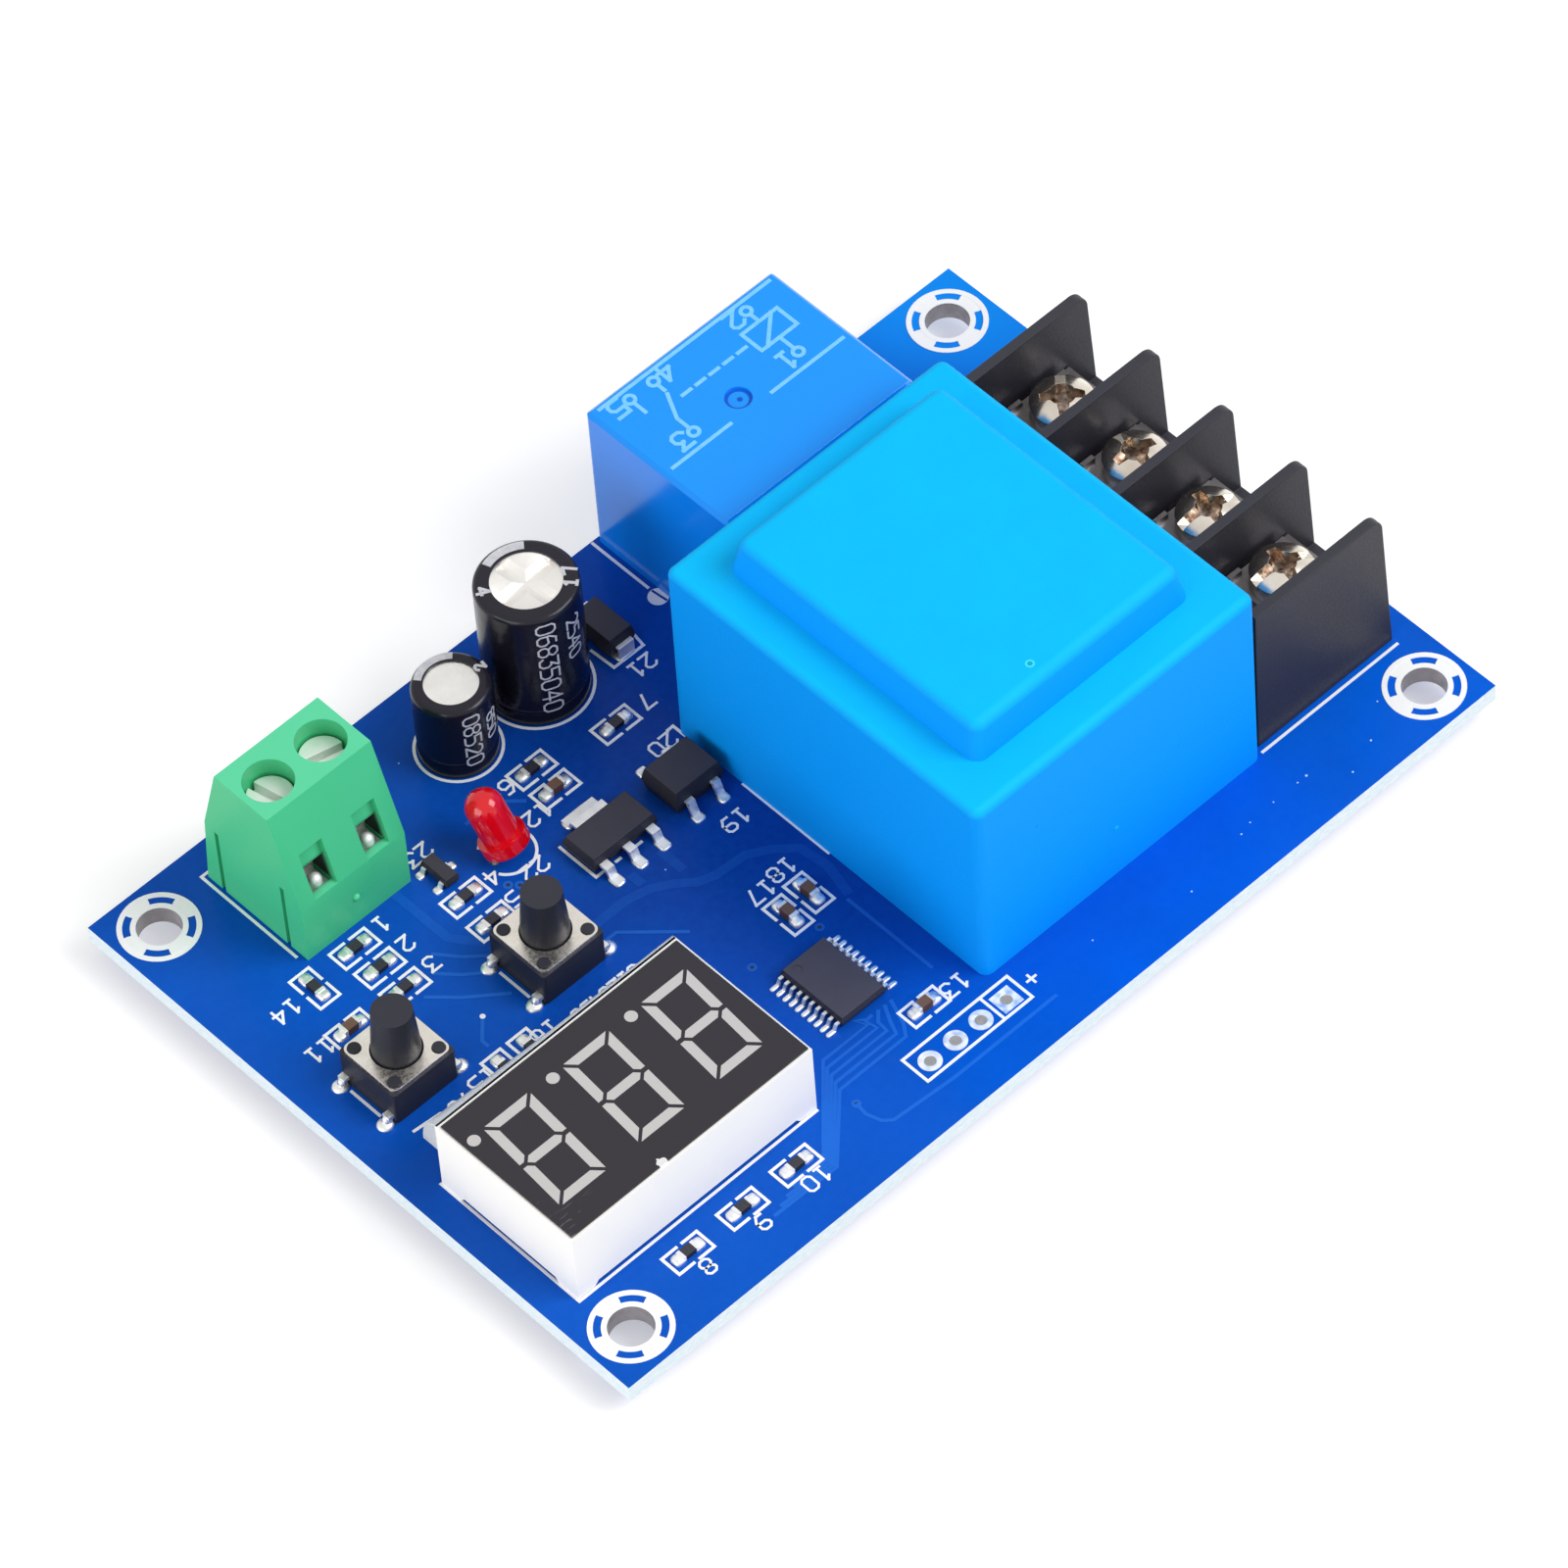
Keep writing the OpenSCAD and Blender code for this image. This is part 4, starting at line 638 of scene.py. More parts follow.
# Plain numerals as strokes
NUMERAL_WIDE = 4
NUMERAL_HIGH = 6
NUMERAL_PITCH = 5.6
NUMERALS = {
    "0": [[(1, 0), (0, 1), (0, 5), (1, 6), (3, 6), (4, 5), (4, 1), (3, 0), (1, 0)]],
    "1": [[(0.8, 4.8), (2, 6), (2, 0)], [(0.8, 0), (3.2, 0)]],
    "2": [[(0, 5), (1, 6), (3, 6), (4, 5), (4, 4), (0, 0), (4, 0)]],
    "3": [[(0, 6), (4, 6), (2, 3.6), (3, 3.6), (4, 2.6), (4, 1), (3, 0), (1, 0), (0, 1)]],
    "4": [[(3, 0), (3, 6), (0, 2), (4, 2)]],
    "5": [[(4, 6), (0, 6), (0, 3.5), (3, 3.5), (4, 2.5), (4, 1), (3, 0), (0, 0)]],
    "6": [[(3.5, 6), (1.5, 6), (0, 4), (0, 1), (1, 0), (3, 0), (4, 1), (4, 2.5), (3, 3.5), (0, 3.2)]],
    "7": [[(0, 6), (4, 6), (1.5, 0)]],
    "8": [[(1, 3.2), (0, 4.2), (0, 5), (1, 6), (3, 6), (4, 5), (4, 4.2), (3, 3.2), (1, 3.2),
           (0, 2.2), (0, 1), (1, 0), (3, 0), (4, 1), (4, 2.2), (3, 3.2)]],
    "9": [[(4, 3), (1, 3), (0, 4), (0, 5), (1, 6), (3, 6), (4, 5), (4, 2), (2.5, 0), (0.5, 0)]],
    "+": [[(2, 1), (2, 5)], [(0, 3), (4, 3)]],
}


def number(digits, height, width, spread=1.0):
    """The strokes of a number, centred, as read upright."""
    unit = height / NUMERAL_HIGH
    step = NUMERAL_PITCH * unit * spread
    start = -(len(digits) - 1) * step / 2 - NUMERAL_WIDE / 2 * unit
    paths = []
    for i, digit in enumerate(digits):
        for stroke in NUMERALS[digit]:
            flat = [(start + i * step + a * unit, (b - NUMERAL_HIGH / 2) * unit) for a, b in stroke]
            paths += strokes(flat, width)
    return paths


def turned_to(paths, x, y, turn=180.0):
    """Flat paths turned and put at a place on the board; most marks read from the back edge."""
    c, s = math.cos(math.radians(turn)), math.sin(math.radians(turn))
    return [[Vector((x + p[0] * c - p[1] * s, y + p[0] * s + p[1] * c)) for p in path] for path in paths]


# Laid lines: their thickness, and how high their middle lies on the board and on other parts
INK = 0.03
BOARD_REST = 0.008
PART_REST = 0.005
HAIR_STEP = 0.002
HAIR_STEPS = 11


def hair(i):
    """A tiny lift in millimetres that keeps the faces of crossing lines apart."""
    return HAIR_STEP * (i % HAIR_STEPS)


def lay(name, paths, width, finish, slot, thickness=INK, z=BOARD_REST):
    """Flat paths in board millimetres made into one piece of laid lines."""
    raised = [[spot(p[0], p[1], z + hair(i)) for p in path] for i, path in enumerate(paths)]
    mesh = grow(name, LAID_LINE, path_mesh(name, raised), finish, Width=width * MM, Thickness=thickness * MM)
    board_piece(name, flat_faced(mesh), slot)


def rings(name, places, radius, width, height, z, sides=32, finish="tinned_lead", slot="tinned_lead"):
    """Rings at places on the board or on a part."""
    mesh = grow(name, PLATED_RING, point_mesh(name, [spot(x, y, z) for x, y in places]), finish,
                Radius=radius * MM, Width=width * MM, Height=height * MM, Sides=sides)
    board_piece(name, flat_faced(mesh), slot)


def mounds(name, places, finish, slot, squareness=0.0, around=20, rows=12):
    """Low mounds at points, each with its own reach."""
    mesh = grow(name, SOLDER_MOUND, point_mesh(name, *places), finish,
                Around=around, Rings=rows, Squareness=squareness)
    board_piece(name, mesh, slot)


# CAD nodes that keep their own shape

OWN_FINISHES = {
    "wire_screw_1": "wire_screw", "wire_screw_2": "wire_screw", "wire_terminal_contacts": "wire_screw",
    "controller_body": "fine_epoxy", "large_capacitor_can": "scored_lid",
}
node_slots = {item["node"]: item["material_slot"] for item in frame["record"]["subparts"]}
node_bodies = {node: body for body, nodes in frame["record"]["behaviour"]["bodies"].items() for node in nodes}


def finish_of(node):
    """A node's finish is its slot's, but for the few made of something brighter or finer."""
    return finishes[OWN_FINISHES.get(node, node_slots[node])]


for node in node_slots:
    for holder in frame["nodes"][node].material_slots:
        holder.material = finish_of(node)


# Pieces with softened edges, and how wide each edge is

SOFT_EDGES = {
    "barrier_housing": 0.18, "wire_terminal_housing": 0.12, "display_housing": 0.1, "relay_case": 0.12,
    "button_1_base": 0.1, "button_2_base": 0.1, "button_1_cover": 0.06, "button_2_cover": 0.06,
    "button_1_plunger": 0.14, "button_2_plunger": 0.14, "controller_body": 0.05, "regulator_body": 0.07,
    "bridge_body": 0.07, "diode_body": 0.07, "transistor_body": 0.05,
    "chip_resistor_ends": 0.05, "chip_capacitor_ends": 0.07, "barrier_screw_1": 0.12, "barrier_screw_2": 0.12,
    "barrier_screw_3": 0.12, "barrier_screw_4": 0.12, "wire_screw_1": 0.08, "wire_screw_2": 0.08,
    "large_capacitor_sleeve": 0.03, "small_capacitor_sleeve": 0.03, "wire_terminal_contacts": 0.05,
    "button_1_dome": 0.02, "button_2_dome": 0.02,
}
EDGE_ANGLE = math.radians(28)
FLAT_ANGLE = math.radians(0.5)
SMOOTH_LIMIT = math.cos(math.radians(40))


def keep_flats(mesh):
    """Lets the large faces keep a flat shade, so that only the rounded edges bend the light."""
    around = [[] for _ in mesh.vertices]
    for face in mesh.polygons:
        for vert in face.vertices:
            around[vert].append(face)
    normals = []
    for face in mesh.polygons:
        for vert in face.vertices:
            near = [other for other in around[vert] if other.normal.dot(face.normal) > SMOOTH_LIMIT]
            normals.append(sum((other.normal * other.area for other in near), Vector()).normalized())
    mesh.normals_split_custom_set(normals)


def merged(node):
    """A node's mesh in edit form, with the corners of its faces joined."""
    form = bmesh.new()
    form.from_mesh(frame["nodes"][node].data)
    bmesh.ops.remove_doubles(form, verts=form.verts[:], dist=SAME_PLACE)
    return form


def soften(node, width):
    """A merged copy of a node with its sharp edges rounded, in the node's place."""
    form = merged(node)
    bmesh.ops.dissolve_limit(form, angle_limit=FLAT_ANGLE, verts=form.verts[:], edges=form.edges[:])
    sharp = [e for e in form.edges if len(e.link_faces) == 2 and e.calc_face_angle(0.0) > EDGE_ANGLE]
    bmesh.ops.bevel(form, geom=sharp, offset=width * MM, offset_type="OFFSET", segments=2, profile=0.5,
                    affect="EDGES", clamp_overlap=True)
    for face in form.faces:
        face.smooth = True
    mesh = bpy.data.meshes.new(node + "_soft")
    form.to_mesh(mesh)
    form.free()
    keep_flats(mesh)
    mesh.materials.append(finish_of(node))
    piece = board_piece(node + "_soft", mesh, node_slots[node], node_bodies[node])
    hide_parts(node)
    return piece


soft_pieces = {node: soften(node, width) for node, width in SOFT_EDGES.items()}

# Each button's snap dome gets a mesh of its own
for i in (1, 2):
    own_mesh(soft_pieces[f"button_{i}_dome"])


# Silk print and copper on the board

SILK_WIDTH = 0.24
NUMBER_WIDTH = 0.2
NUMBER_HEIGHT = 1.3
SMALL_NUMBER = 1.1
PLUS_HEIGHT = 1.2
TRACE_WIDTH = 0.3
SUPPLY_WIDTH = 0.8
BOTTOM_WIDTH = 1.6
# Half the length and width of a chip's outline, and half the gap in its long sides
CHIP_LONG = 1.7
CHIP_SHORT = 0.93
CHIP_GAP = 0.3


def chip_outline(x, y, across):
    """Two open brackets round a chip, with a gap in the middle of each long side."""
    paths = []
    for side in (-1, 1):
        bracket = [(side * CHIP_GAP, -CHIP_SHORT), (side * CHIP_LONG, -CHIP_SHORT),
                   (side * CHIP_LONG, CHIP_SHORT), (side * CHIP_GAP, CHIP_SHORT)]
        if not across:
            bracket = [(b, a) for a, b in bracket]
        paths += strokes([(x + a, y + b) for a, b in bracket], SILK_WIDTH)
    return paths


def silk_lines():
    """Every outline printed on the parts side."""
    lines = [
        [(8.87, 44.84), (8.87, 55.2), (9.6, 55.2)],
        [(50.05, 57.5), (50.05, 51.5)],
        [(43.05, 50.1), (43.15, 47.75), (46.1, 47.75), (46.3, 49.0)],
        [(29.0, 38.38), (29.0, 34.5), (29.7, 34.5)],
        [(31.0, 34.5), (31.4, 34.5)], [(33.0, 34.5), (33.5, 34.5)],
        [(42.44, 39.3), (42.44, 40.64), (41.9, 40.64)],
        [(70.93, 7.9), (84.92, 7.9)],
        [(2.62, 22.4), (2.62, 7.9), (25.8, 7.9)],
        [(33.15, 4.06), (43.61, 4.06), (43.61, 6.71), (33.15, 6.71), (33.15, 4.06)],
        [(40.86, 4.06), (40.86, 6.71)],
        [(42.35, 24.0), (42.35, 33.0)],
        [(4.4, 27.2), (6.75, 27.0)],
    ]
    lines += [[(x + out, y - 1.5), (x + out, y + 1.5)] for x, y in BUTTONS for out in (-3.35, 3.35)]
    paths = [path for line in lines for path in strokes(line, SILK_WIDTH)]
    for x, y in RESISTORS_ALONG_X + CAPACITORS_ALONG_X:
        paths += chip_outline(x, y, True)
    for x, y in RESISTORS_ALONG_Y + CAPACITORS_ALONG_Y:
        paths += chip_outline(x, y, False)
    return paths + [arc(*LARGE_CAN, 4.25), arc(*SMALL_CAN, 3.3), arc(*LAMP, 2.15, -150, 130)]


NUMBER_PLACES = [
    (15.15, 42.6), (15.25, 40.0), (15.3, 37.35), (23.69, 39.95), (23.46, 37.34), (30.05, 45.27),
    (42.65, 43.75), (11.05, 3.6), (16.4, 3.6), (21.65, 3.6), (4.42, 37.31), (29.88, 41.78),
    (40.38, 8.8), (5.05, 41.68), (10.9, 27.0), (16.9, 26.9), (36.4, 24.9), (38.85, 25.3),
    (39.65, 31.03), (40.74, 39.9), (44.74, 46.41), (26.37, 38.28), (21.27, 45.32),
]


def running_numbers():
    """Plain numbers beside the parts, in one row of counting."""
    paths = []
    for i, (x, y) in enumerate(NUMBER_PLACES):
        paths += turned_to(number(str(i + 1), NUMBER_HEIGHT, NUMBER_WIDTH), x, y)
    paths += turned_to(number("0123456", SMALL_NUMBER, NUMBER_WIDTH, 0.9), 22.4, 26.3)
    paths += turned_to(number("78", SMALL_NUMBER, NUMBER_WIDTH), 8.4, 26.6)
    paths += turned_to(number("+", PLUS_HEIGHT, NUMBER_WIDTH), 44.7, 5.3)
    return paths


RING_WIDTH = 0.42
RING_RADII = (1.94, 2.93)
BRIDGE_RADII = (2.29, 2.58)
BRIDGE_HALF = 23


def ring_arcs():
    """The wide white ring round each mounting hole: an inner and an outer band, and four bridges between."""
    paths = []
    for x, y in MOUNTING_HOLES:
        paths += [arc(x, y, r) for r in RING_RADII]
        for middle in (0, 90, 180, 270):
            paths += [arc(x, y, r, middle - BRIDGE_HALF, middle + BRIDGE_HALF) for r in BRIDGE_RADII]
    return paths


def copper_traces():
    """The narrow lines that show through the mask: a fan from the controller, and lines round the buttons."""
    lines = []
    for i in range(5):
        low = 8.05 + 0.68 * i
        lines.append([(36.3 - 0.62 * i, 11.2), (35.5 - 0.6 * i, low + 1.0), (34.8 - 0.3 * i, low),
                      (28.2 + 0.24 * i, low), (23.4 - 0.05 * i, 3.3 + 0.3 * i),
                      (17.3 + 0.9 * i, 3.4 + 0.3 * i)])
    return lines + [
        [(28.2, 6.33), (28.05, 5.18), (28.45, 3.92), (29.1, 3.37), (34.67, 2.96), (45.0, 2.96)],
        [FILLED_VIA, (13.2, 29.6), (13.2, 28.9)],
        [(15.9, 38.0), (17.3, 36.2), (19.1, 34.5)],
        [(14.8, 36.6), (16.2, 35.0), (17.9, 33.6)],
        [(12.9, 35.5), (14.8, 33.5), (17.6, 31.2)],
        [(24.6, 29.8), (26.6, 29.8), (30.4, 26.0)],
        [(25.6, 44.9), (28.6, 44.9), (30.2, 43.3)],
        [(40.4, 20.0), (40.4, 11.1)],
    ]


# Broad lines that carry the supply from the regulator and the wire terminal
POWER_TRACES = [
    [(24.9, 31.4), (29.1, 31.4), (31.1, 30.9), (32.6, 30.0), (33.8, 28.9), (35.2, 28.4), (38.0, 28.2),
     (39.7, 27.2), (41.2, 25.8), (41.5, 23.2), (40.8, 20.2)],
    [(17.7, 43.9), (17.7, 38.2), (19.4, 35.9)],
    [(30.9, 32.9), (30.9, 31.6)], [(33.9, 33.0), (33.9, 30.4)],
]

# Broad tracks on the underside: transformer supply, relay contacts, relay coil and capacitors
BOTTOM_POWER = [
    [(73.0, 12.67), (71.7, 13.95), (66.5, 13.95)],
    [(73.0, 20.29), (68.8, 24.5), (68.8, 31.65), (66.5, 33.95)],
    [(73.0, 27.91), (71.2, 29.7), (71.2, 39.8), (67.15, 43.85)],
    [(73.0, 35.53), (73.0, 45.8), (68.95, 49.85), (52.95, 49.85)],
    [(54.95, 55.85), (48.0, 55.85), (45.9, 53.75)],
    [(54.95, 43.85), (48.2, 43.85), (45.9, 46.15)],
    [(46.5, 28.95), (43.6, 31.85), (43.6, 38.5)],
    [(46.5, 18.95), (41.9, 23.55), (41.9, 33.0)],
    [(16.84, 49.2), (18.24, 50.6), (28.9, 50.6)],
    [(31.4, 50.6), (36.45, 50.75)],
]


def bottom_signal_traces():
    """Narrow tracks on the underside, nested, from the display's back row to the controller's side."""
    y = DISPLAY[1] + DISPLAY_ROW
    lines = []
    for i in range(5):
        x = DISPLAY[0] + (i - 2.5) * LEAD_PITCH
        rise = 3.7 - 0.7 * i
        lines.append([(x, y), (x + rise, y + rise), (29.5, y + rise)])
    return lines


# Print on the relay and on the capacitors' sleeves

RELAY_WIDTH = 0.32
RELAY_PINS = [(-5.4, -0.5), (-5.4, -6.1), (5.2, -0.5), (4.0, -6.1), (6.4, -6.1)]
PIN_RADIUS = 0.42
PIN_NUMBER = 1.6


def relay_diagram():
    """A plain diagram of a coil and a change-over contact, its five pins numbered, read from the back."""
    lines = [
        [(-7.2, -4.7), (-3.6, -4.7), (-3.6, -2.5), (-7.2, -2.5), (-7.2, -4.7)], [(-6.6, -4.7), (-4.2, -2.5)],
        [(-5.4, -2.5), (-5.4, -1.0)], [(-5.4, -4.7), (-5.4, -5.6)],
        [(5.2, -1.0), (5.2, -2.3), (4.1, -4.5)], [(4.0, -4.9), (4.0, -5.6)], [(6.4, -4.4), (6.4, -5.6)],
        [(-8.6, -7.0), (8.6, -7.0)], [(-8.6, 0.9), (-1.4, 0.9)], [(2.8, 0.9), (8.6, 0.9)],
    ]
    lines += [[(a, -3.6), (a + 0.8, -3.6)] for a in (-3.0, -1.6, -0.2, 1.2, 2.6)]
    paths = [path for line in lines for path in strokes(line, RELAY_WIDTH)]
    for i, (a, b) in enumerate(RELAY_PINS):
        paths.append(arc(a, b, PIN_RADIUS, steps=16))
        side = -1.2 if i == 3 else 1.2
        paths += turned_to(number(str(i + 1), PIN_NUMBER, RELAY_WIDTH), a + side, b, 0)
    return turned_to(paths, *RELAY)


BAND_WIDTH = 0.26
BAND_STEP = 0.3
BAND_ENDS = (1.0, 0.75)
DIGIT_WIDTH = 0.15
DIGIT_STEP = 0.25
DIGIT_SPREAD = 0.95
LIP_WIDTH = 0.24
# Lines on a sleeve's lip, and the height of its digits, as shares of its radius
LIP_LINES = (0.76, 0.82, 0.88)
LIP_DIGIT = 0.24


def can_band(r, start, end):
    """Side by side lines that make one pale stripe down a can, as arc lengths."""
    first, last = math.radians(start) * r, math.radians(end) * r
    count = int((last - first) / BAND_STEP)
    return [first + (last - first) * i / count for i in range(count + 1)]


def stepped(path):
    """The same path with a point at least every DIGIT_STEP, so that it can bend round a sleeve."""
    fine = path[:1]
    for start, end in zip(path, path[1:]):
        count = math.ceil((end - start).length / DIGIT_STEP)
        fine += [start.lerp(end, (k + 1) / count) for k in range(count)]
    return fine


def wrapped(name, paths, width, place, r):
    """Flat paths, as arc length and height in millimetres, laid as ink round an upright sleeve."""
    raised = [[Vector((p[0], p[1], hair(i))) * MM for p in path] for i, path in enumerate(paths)]
    mesh = grow(name, LAID_LINE, path_mesh(name, raised), "can_ink", Width=width * MM, Thickness=INK * MM)
    middle = spot(*place)
    for vert in mesh.vertices:
        turn = vert.co.x / (r * MM)
        reach = (r + PART_REST) * MM + vert.co.z
        vert.co = (middle.x + reach * math.cos(turn), middle.y + reach * math.sin(turn), middle.z + vert.co.y)
    outward(mesh)
    board_piece(name, flat_faced(mesh), "sleeve_film")


def can_print(name, node, place, numbers, stripe, columns):
    """Ink on a sleeve: a pale stripe on one side, plain numbers down the other, and marks on its lip."""
    low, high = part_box(node)
    r = (high[0] - low[0]) / 2 / MM
    top = (high[2] - BOARD_TOP) / MM
    band = [[Vector((u, BAND_ENDS[0])), Vector((u, top - BAND_ENDS[1]))] for u in can_band(r, *stripe)]
    wrapped(name, band, BAND_WIDTH, place, r)
    digits = []
    for text, azimuth, middle, height in columns:
        at = math.radians(azimuth) * r
        for path in number(text, height, DIGIT_WIDTH, DIGIT_SPREAD):
            digits.append(stepped([Vector((at + p[1], middle - p[0])) for p in path]))
    wrapped(name + "_digits", digits, DIGIT_WIDTH, place, r)
    lip = [arc(*place, r * share, *stripe) for share in LIP_LINES]
    for text, azimuth in numbers:
        at, out = math.radians(azimuth), r * LIP_LINES[1]
        lip += turned_to(number(text, r * LIP_DIGIT, NUMBER_WIDTH), place[0] + out * math.cos(at),
                         place[1] + out * math.sin(at), azimuth + 90)
    lay(name + "_lip", lip, LIP_WIDTH, "can_ink", "sleeve_film", z=top + PART_REST)


lay("relay_diagram", relay_diagram(), RELAY_WIDTH, "relay_ink", "relay_plastic", z=RELAY_TOP + PART_REST)
can_print("large_can_print", "large_capacitor_sleeve", LARGE_CAN, [("4", 153), ("7", -29), ("1", -50)],
          (50, 110), [("06835040", -113, 6.5, 1.45), ("2540", -78, 8.4, 1.3)])
can_print("small_can_print", "small_capacitor_sleeve", SMALL_CAN, [("2", -10)], (45, 130),
          [("08520", -105, 4.1, 1.3), ("850", -68, 4.4, 1.1)])

lay("silk_outlines", silk_lines(), SILK_WIDTH, "silk", "board_laminate")
lay("silk_numbers", running_numbers(), NUMBER_WIDTH, "silk", "board_laminate")
lay("hole_rings", ring_arcs(), RING_WIDTH, "silk", "board_laminate", thickness=0.05, z=0.012)
lay("copper_traces", copper_traces(), TRACE_WIDTH, "copper", "board_laminate", z=0.0)
lay("power_traces", POWER_TRACES, SUPPLY_WIDTH, "broad_copper", "board_laminate", thickness=0.036, z=0.0)


# Hole linings, pads and vias: the radius of a ring's middle line, its width and its height

LINING_WIDTH = 0.05
LINING_HEIGHT = THICKNESS + 0.02
PAD = (0.7, 0.42, 0.05)
VIA = (0.27, 0.22, 0.04)
PAD_REST = 0.012
# Tracks on the underside lie low enough to stay clear of the board with their hair's lift
UNDERSIDE = -THICKNESS - 0.022
# The square pad round the header's first hole, as lines a pad's width wide
FIRST_PAD = [[(-0.7, -0.91), (-0.7, 0.91)], [(0.7, -0.91), (0.7, 0.91)],
             [(-0.5, -0.7), (0.5, -0.7)], [(-0.5, 0.7), (0.5, 0.7)]]

# The mounting barrels take the nickel plate, darkened as painted shade
rings("mounting_barrels", MOUNTING_HOLES, 1.735, LINING_WIDTH, LINING_HEIGHT, -THICKNESS / 2, 48,
      "nickel_plate")
rings("header_barrels", HEADER_HOLES, 0.485, LINING_WIDTH, LINING_HEIGHT, -THICKNESS / 2)
rings("header_pads", HEADER_HOLES, *PAD, PAD_REST, finish="pad")
first_pad = turned_to(FIRST_PAD, *HEADER_HOLES[3], 0)
lay("header_first_pad", first_pad, PAD[1], "pad", "tinned_lead", thickness=PAD[2], z=0.016)
rings("header_pads_below", HEADER_HOLES, *PAD, -THICKNESS - PAD_REST)
bottom_signal = bottom_signal_traces()
lay("bottom_power_traces", BOTTOM_POWER, BOTTOM_WIDTH, "copper", "board_laminate", z=UNDERSIDE)
lay("bottom_signal_traces", bottom_signal, TRACE_WIDTH, "copper", "board_laminate", z=UNDERSIDE)
rings("bottom_vias", [line[-1] for line in bottom_signal], *VIA, UNDERSIDE, 20, "copper", "board_laminate")
rings("part_vias", PART_VIAS, *VIA, 0.008, 20, "copper")
# The vias' holes are painted shade: black rings in the black of the buttons
rings("via_hole_painted_shade", PART_VIAS, 0.08, 0.15, 0.03, 0.004, 12, "button_plastic")
rings("filled_via", [FILLED_VIA], 0.12, 0.2, 0.05, 0.01, 16, "pad")


# Solder on the parts side

SURFACE_LEADS = ["regulator_leads", "bridge_leads", "controller_leads", "transistor_leads", "diode_leads",
                 "chip_resistor_ends", "chip_capacitor_ends"]
FOOT_DEPTH = 0.14 * MM
# How far solder reaches past a foot along X and Y, and its height
LEAD_SOLDER = (0.14, 0.14, 0.16)
CONTROLLER_SOLDER = (0.14, 0.06, 0.12)
# A chip's mound: its shift outwards, its reach on all sides, what it adds outwards, and its height
CHIP_SHIFT = 0.26
CHIP_SIDE = 0.08
CHIP_RUN = 0.3
CHIP_RISE = 0.3
# A button pin's mound and wetted end: each one's place from the button's middle, and its reach
PIN_MOUNDS = [((3.62, 2.4, 0.0), (0.7, 0.64, 0.36)), ((3.5, 2.38, 0.3), (0.34, 0.34, 0.52))]


def shells(form):
    """The points of each separate shell of a mesh in edit form."""
    seen = set()
    for start in form.verts:
        if start in seen:
            continue
        seen.add(start)
        shell, heap = [], [start]
        while heap:
            vert = heap.pop()
            shell.append(vert.co.copy())
            near = [edge.other_vert(vert) for edge in vert.link_edges]
            fresh = [other for other in near if other not in seen]
            seen.update(fresh)
            heap += fresh
        yield shell


def lead_feet(node):
    """The middle and half size of each lead's foot where it meets the board."""
    form = merged(node)
    feet = []
    for shell in shells(form):
        low = [p for p in shell if p.z < BOARD_TOP + FOOT_DEPTH]
        if low:
            xs, ys = [p.x for p in low], [p.y for p in low]
            middle = Vector(((min(xs) + max(xs)) / 2, (min(ys) + max(ys)) / 2, BOARD_TOP))
            feet.append((middle, (max(xs) - min(xs)) / 2, (max(ys) - min(ys)) / 2))
    form.free()
    return feet


def surface_solder():
    """A mound at every surface lead; a chip's reaches out over its pads."""
    points, reach = [], []
    for node in SURFACE_LEADS:
        feet = lead_feet(node)
        for middle, half_x, half_y in feet:
            more_x, more_y, rise = CONTROLLER_SOLDER if node == "controller_leads" else LEAD_SOLDER
            if node.startswith("chip"):
                others = [other for other, _, _ in feet if other != middle]
                mate = min(others, key=lambda other: (other - middle).length)
                out = (middle - mate).normalized()
                middle = middle + out * CHIP_SHIFT * MM
                more_x, more_y = CHIP_SIDE + CHIP_RUN * abs(out.x), CHIP_SIDE + CHIP_RUN * abs(out.y)
                rise = CHIP_RISE
            points.append(middle)
            reach.append((half_x + more_x * MM, half_y + more_y * MM, rise * MM))
    return points, reach


def button_solder():
    """A round mound at each button pin, with the pin's wetted end standing up out of it."""
    points, reach = [], []
    corners = [(x, y, side_x, side_y) for x, y in BUTTONS for side_x in (-1, 1) for side_y in (-1, 1)]
    for x, y, side_x, side_y in corners:
        for (out, along, z), size in PIN_MOUNDS:
            points.append(spot(x + side_x * out, y + side_y * along, z))
            reach.append(Vector(size) * MM)
    return points, reach


mounds("solder_mounds", surface_solder(), "solder", "solder", 1.0)
mounds("button_mounds", button_solder(), "solder", "solder")


# Small marks of making and use

# Each speck's place and radius: dust on the board, and bubbles on the transformer's front
DUST = [(77.2, 3.0, 0.09), (71.6, 4.1, 0.11), (70.7, 4.1, 0.08), (74.2, 1.9, 0.09), (64.5, 3.7, 0.08),
        (65.7, 4.0, 0.07), (68.2, 4.1, 0.07), (80.1, 5.2, 0.07), (58.3, 2.6, 0.08), (83.0, 10.9, 0.08),
        (50.2, 4.6, 0.07), (33.0, 31.4, 0.07), (26.0, 52.6, 0.07), (8.8, 24.3, 0.07)]
BUBBLES = [(55.85, 7.66, 5.2, 0.24), (62.4, 7.66, 9.0, 0.1), (48.2, 7.66, 12.6, 0.1)]
CASE_TOP = (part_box("transformer_case")[1][2] - BOARD_TOP) / MM
MOULD_MARK = (53.12, 13.03)
MARK_REST = CASE_TOP - 0.006
DIMPLE_REST = RELAY_TOP - 0.24


def specks(name, places, finish, slot, across, rise):
    """Tiny low mounds, each with its own radius and two shares of it, across and up."""
    reach = [(r * MM, r * across * MM, r * rise * MM) for _, _, _, r in places]
    mounds(name, ([spot(x, y, z) for x, y, z, _ in places], reach), finish, slot, around=10, rows=6)


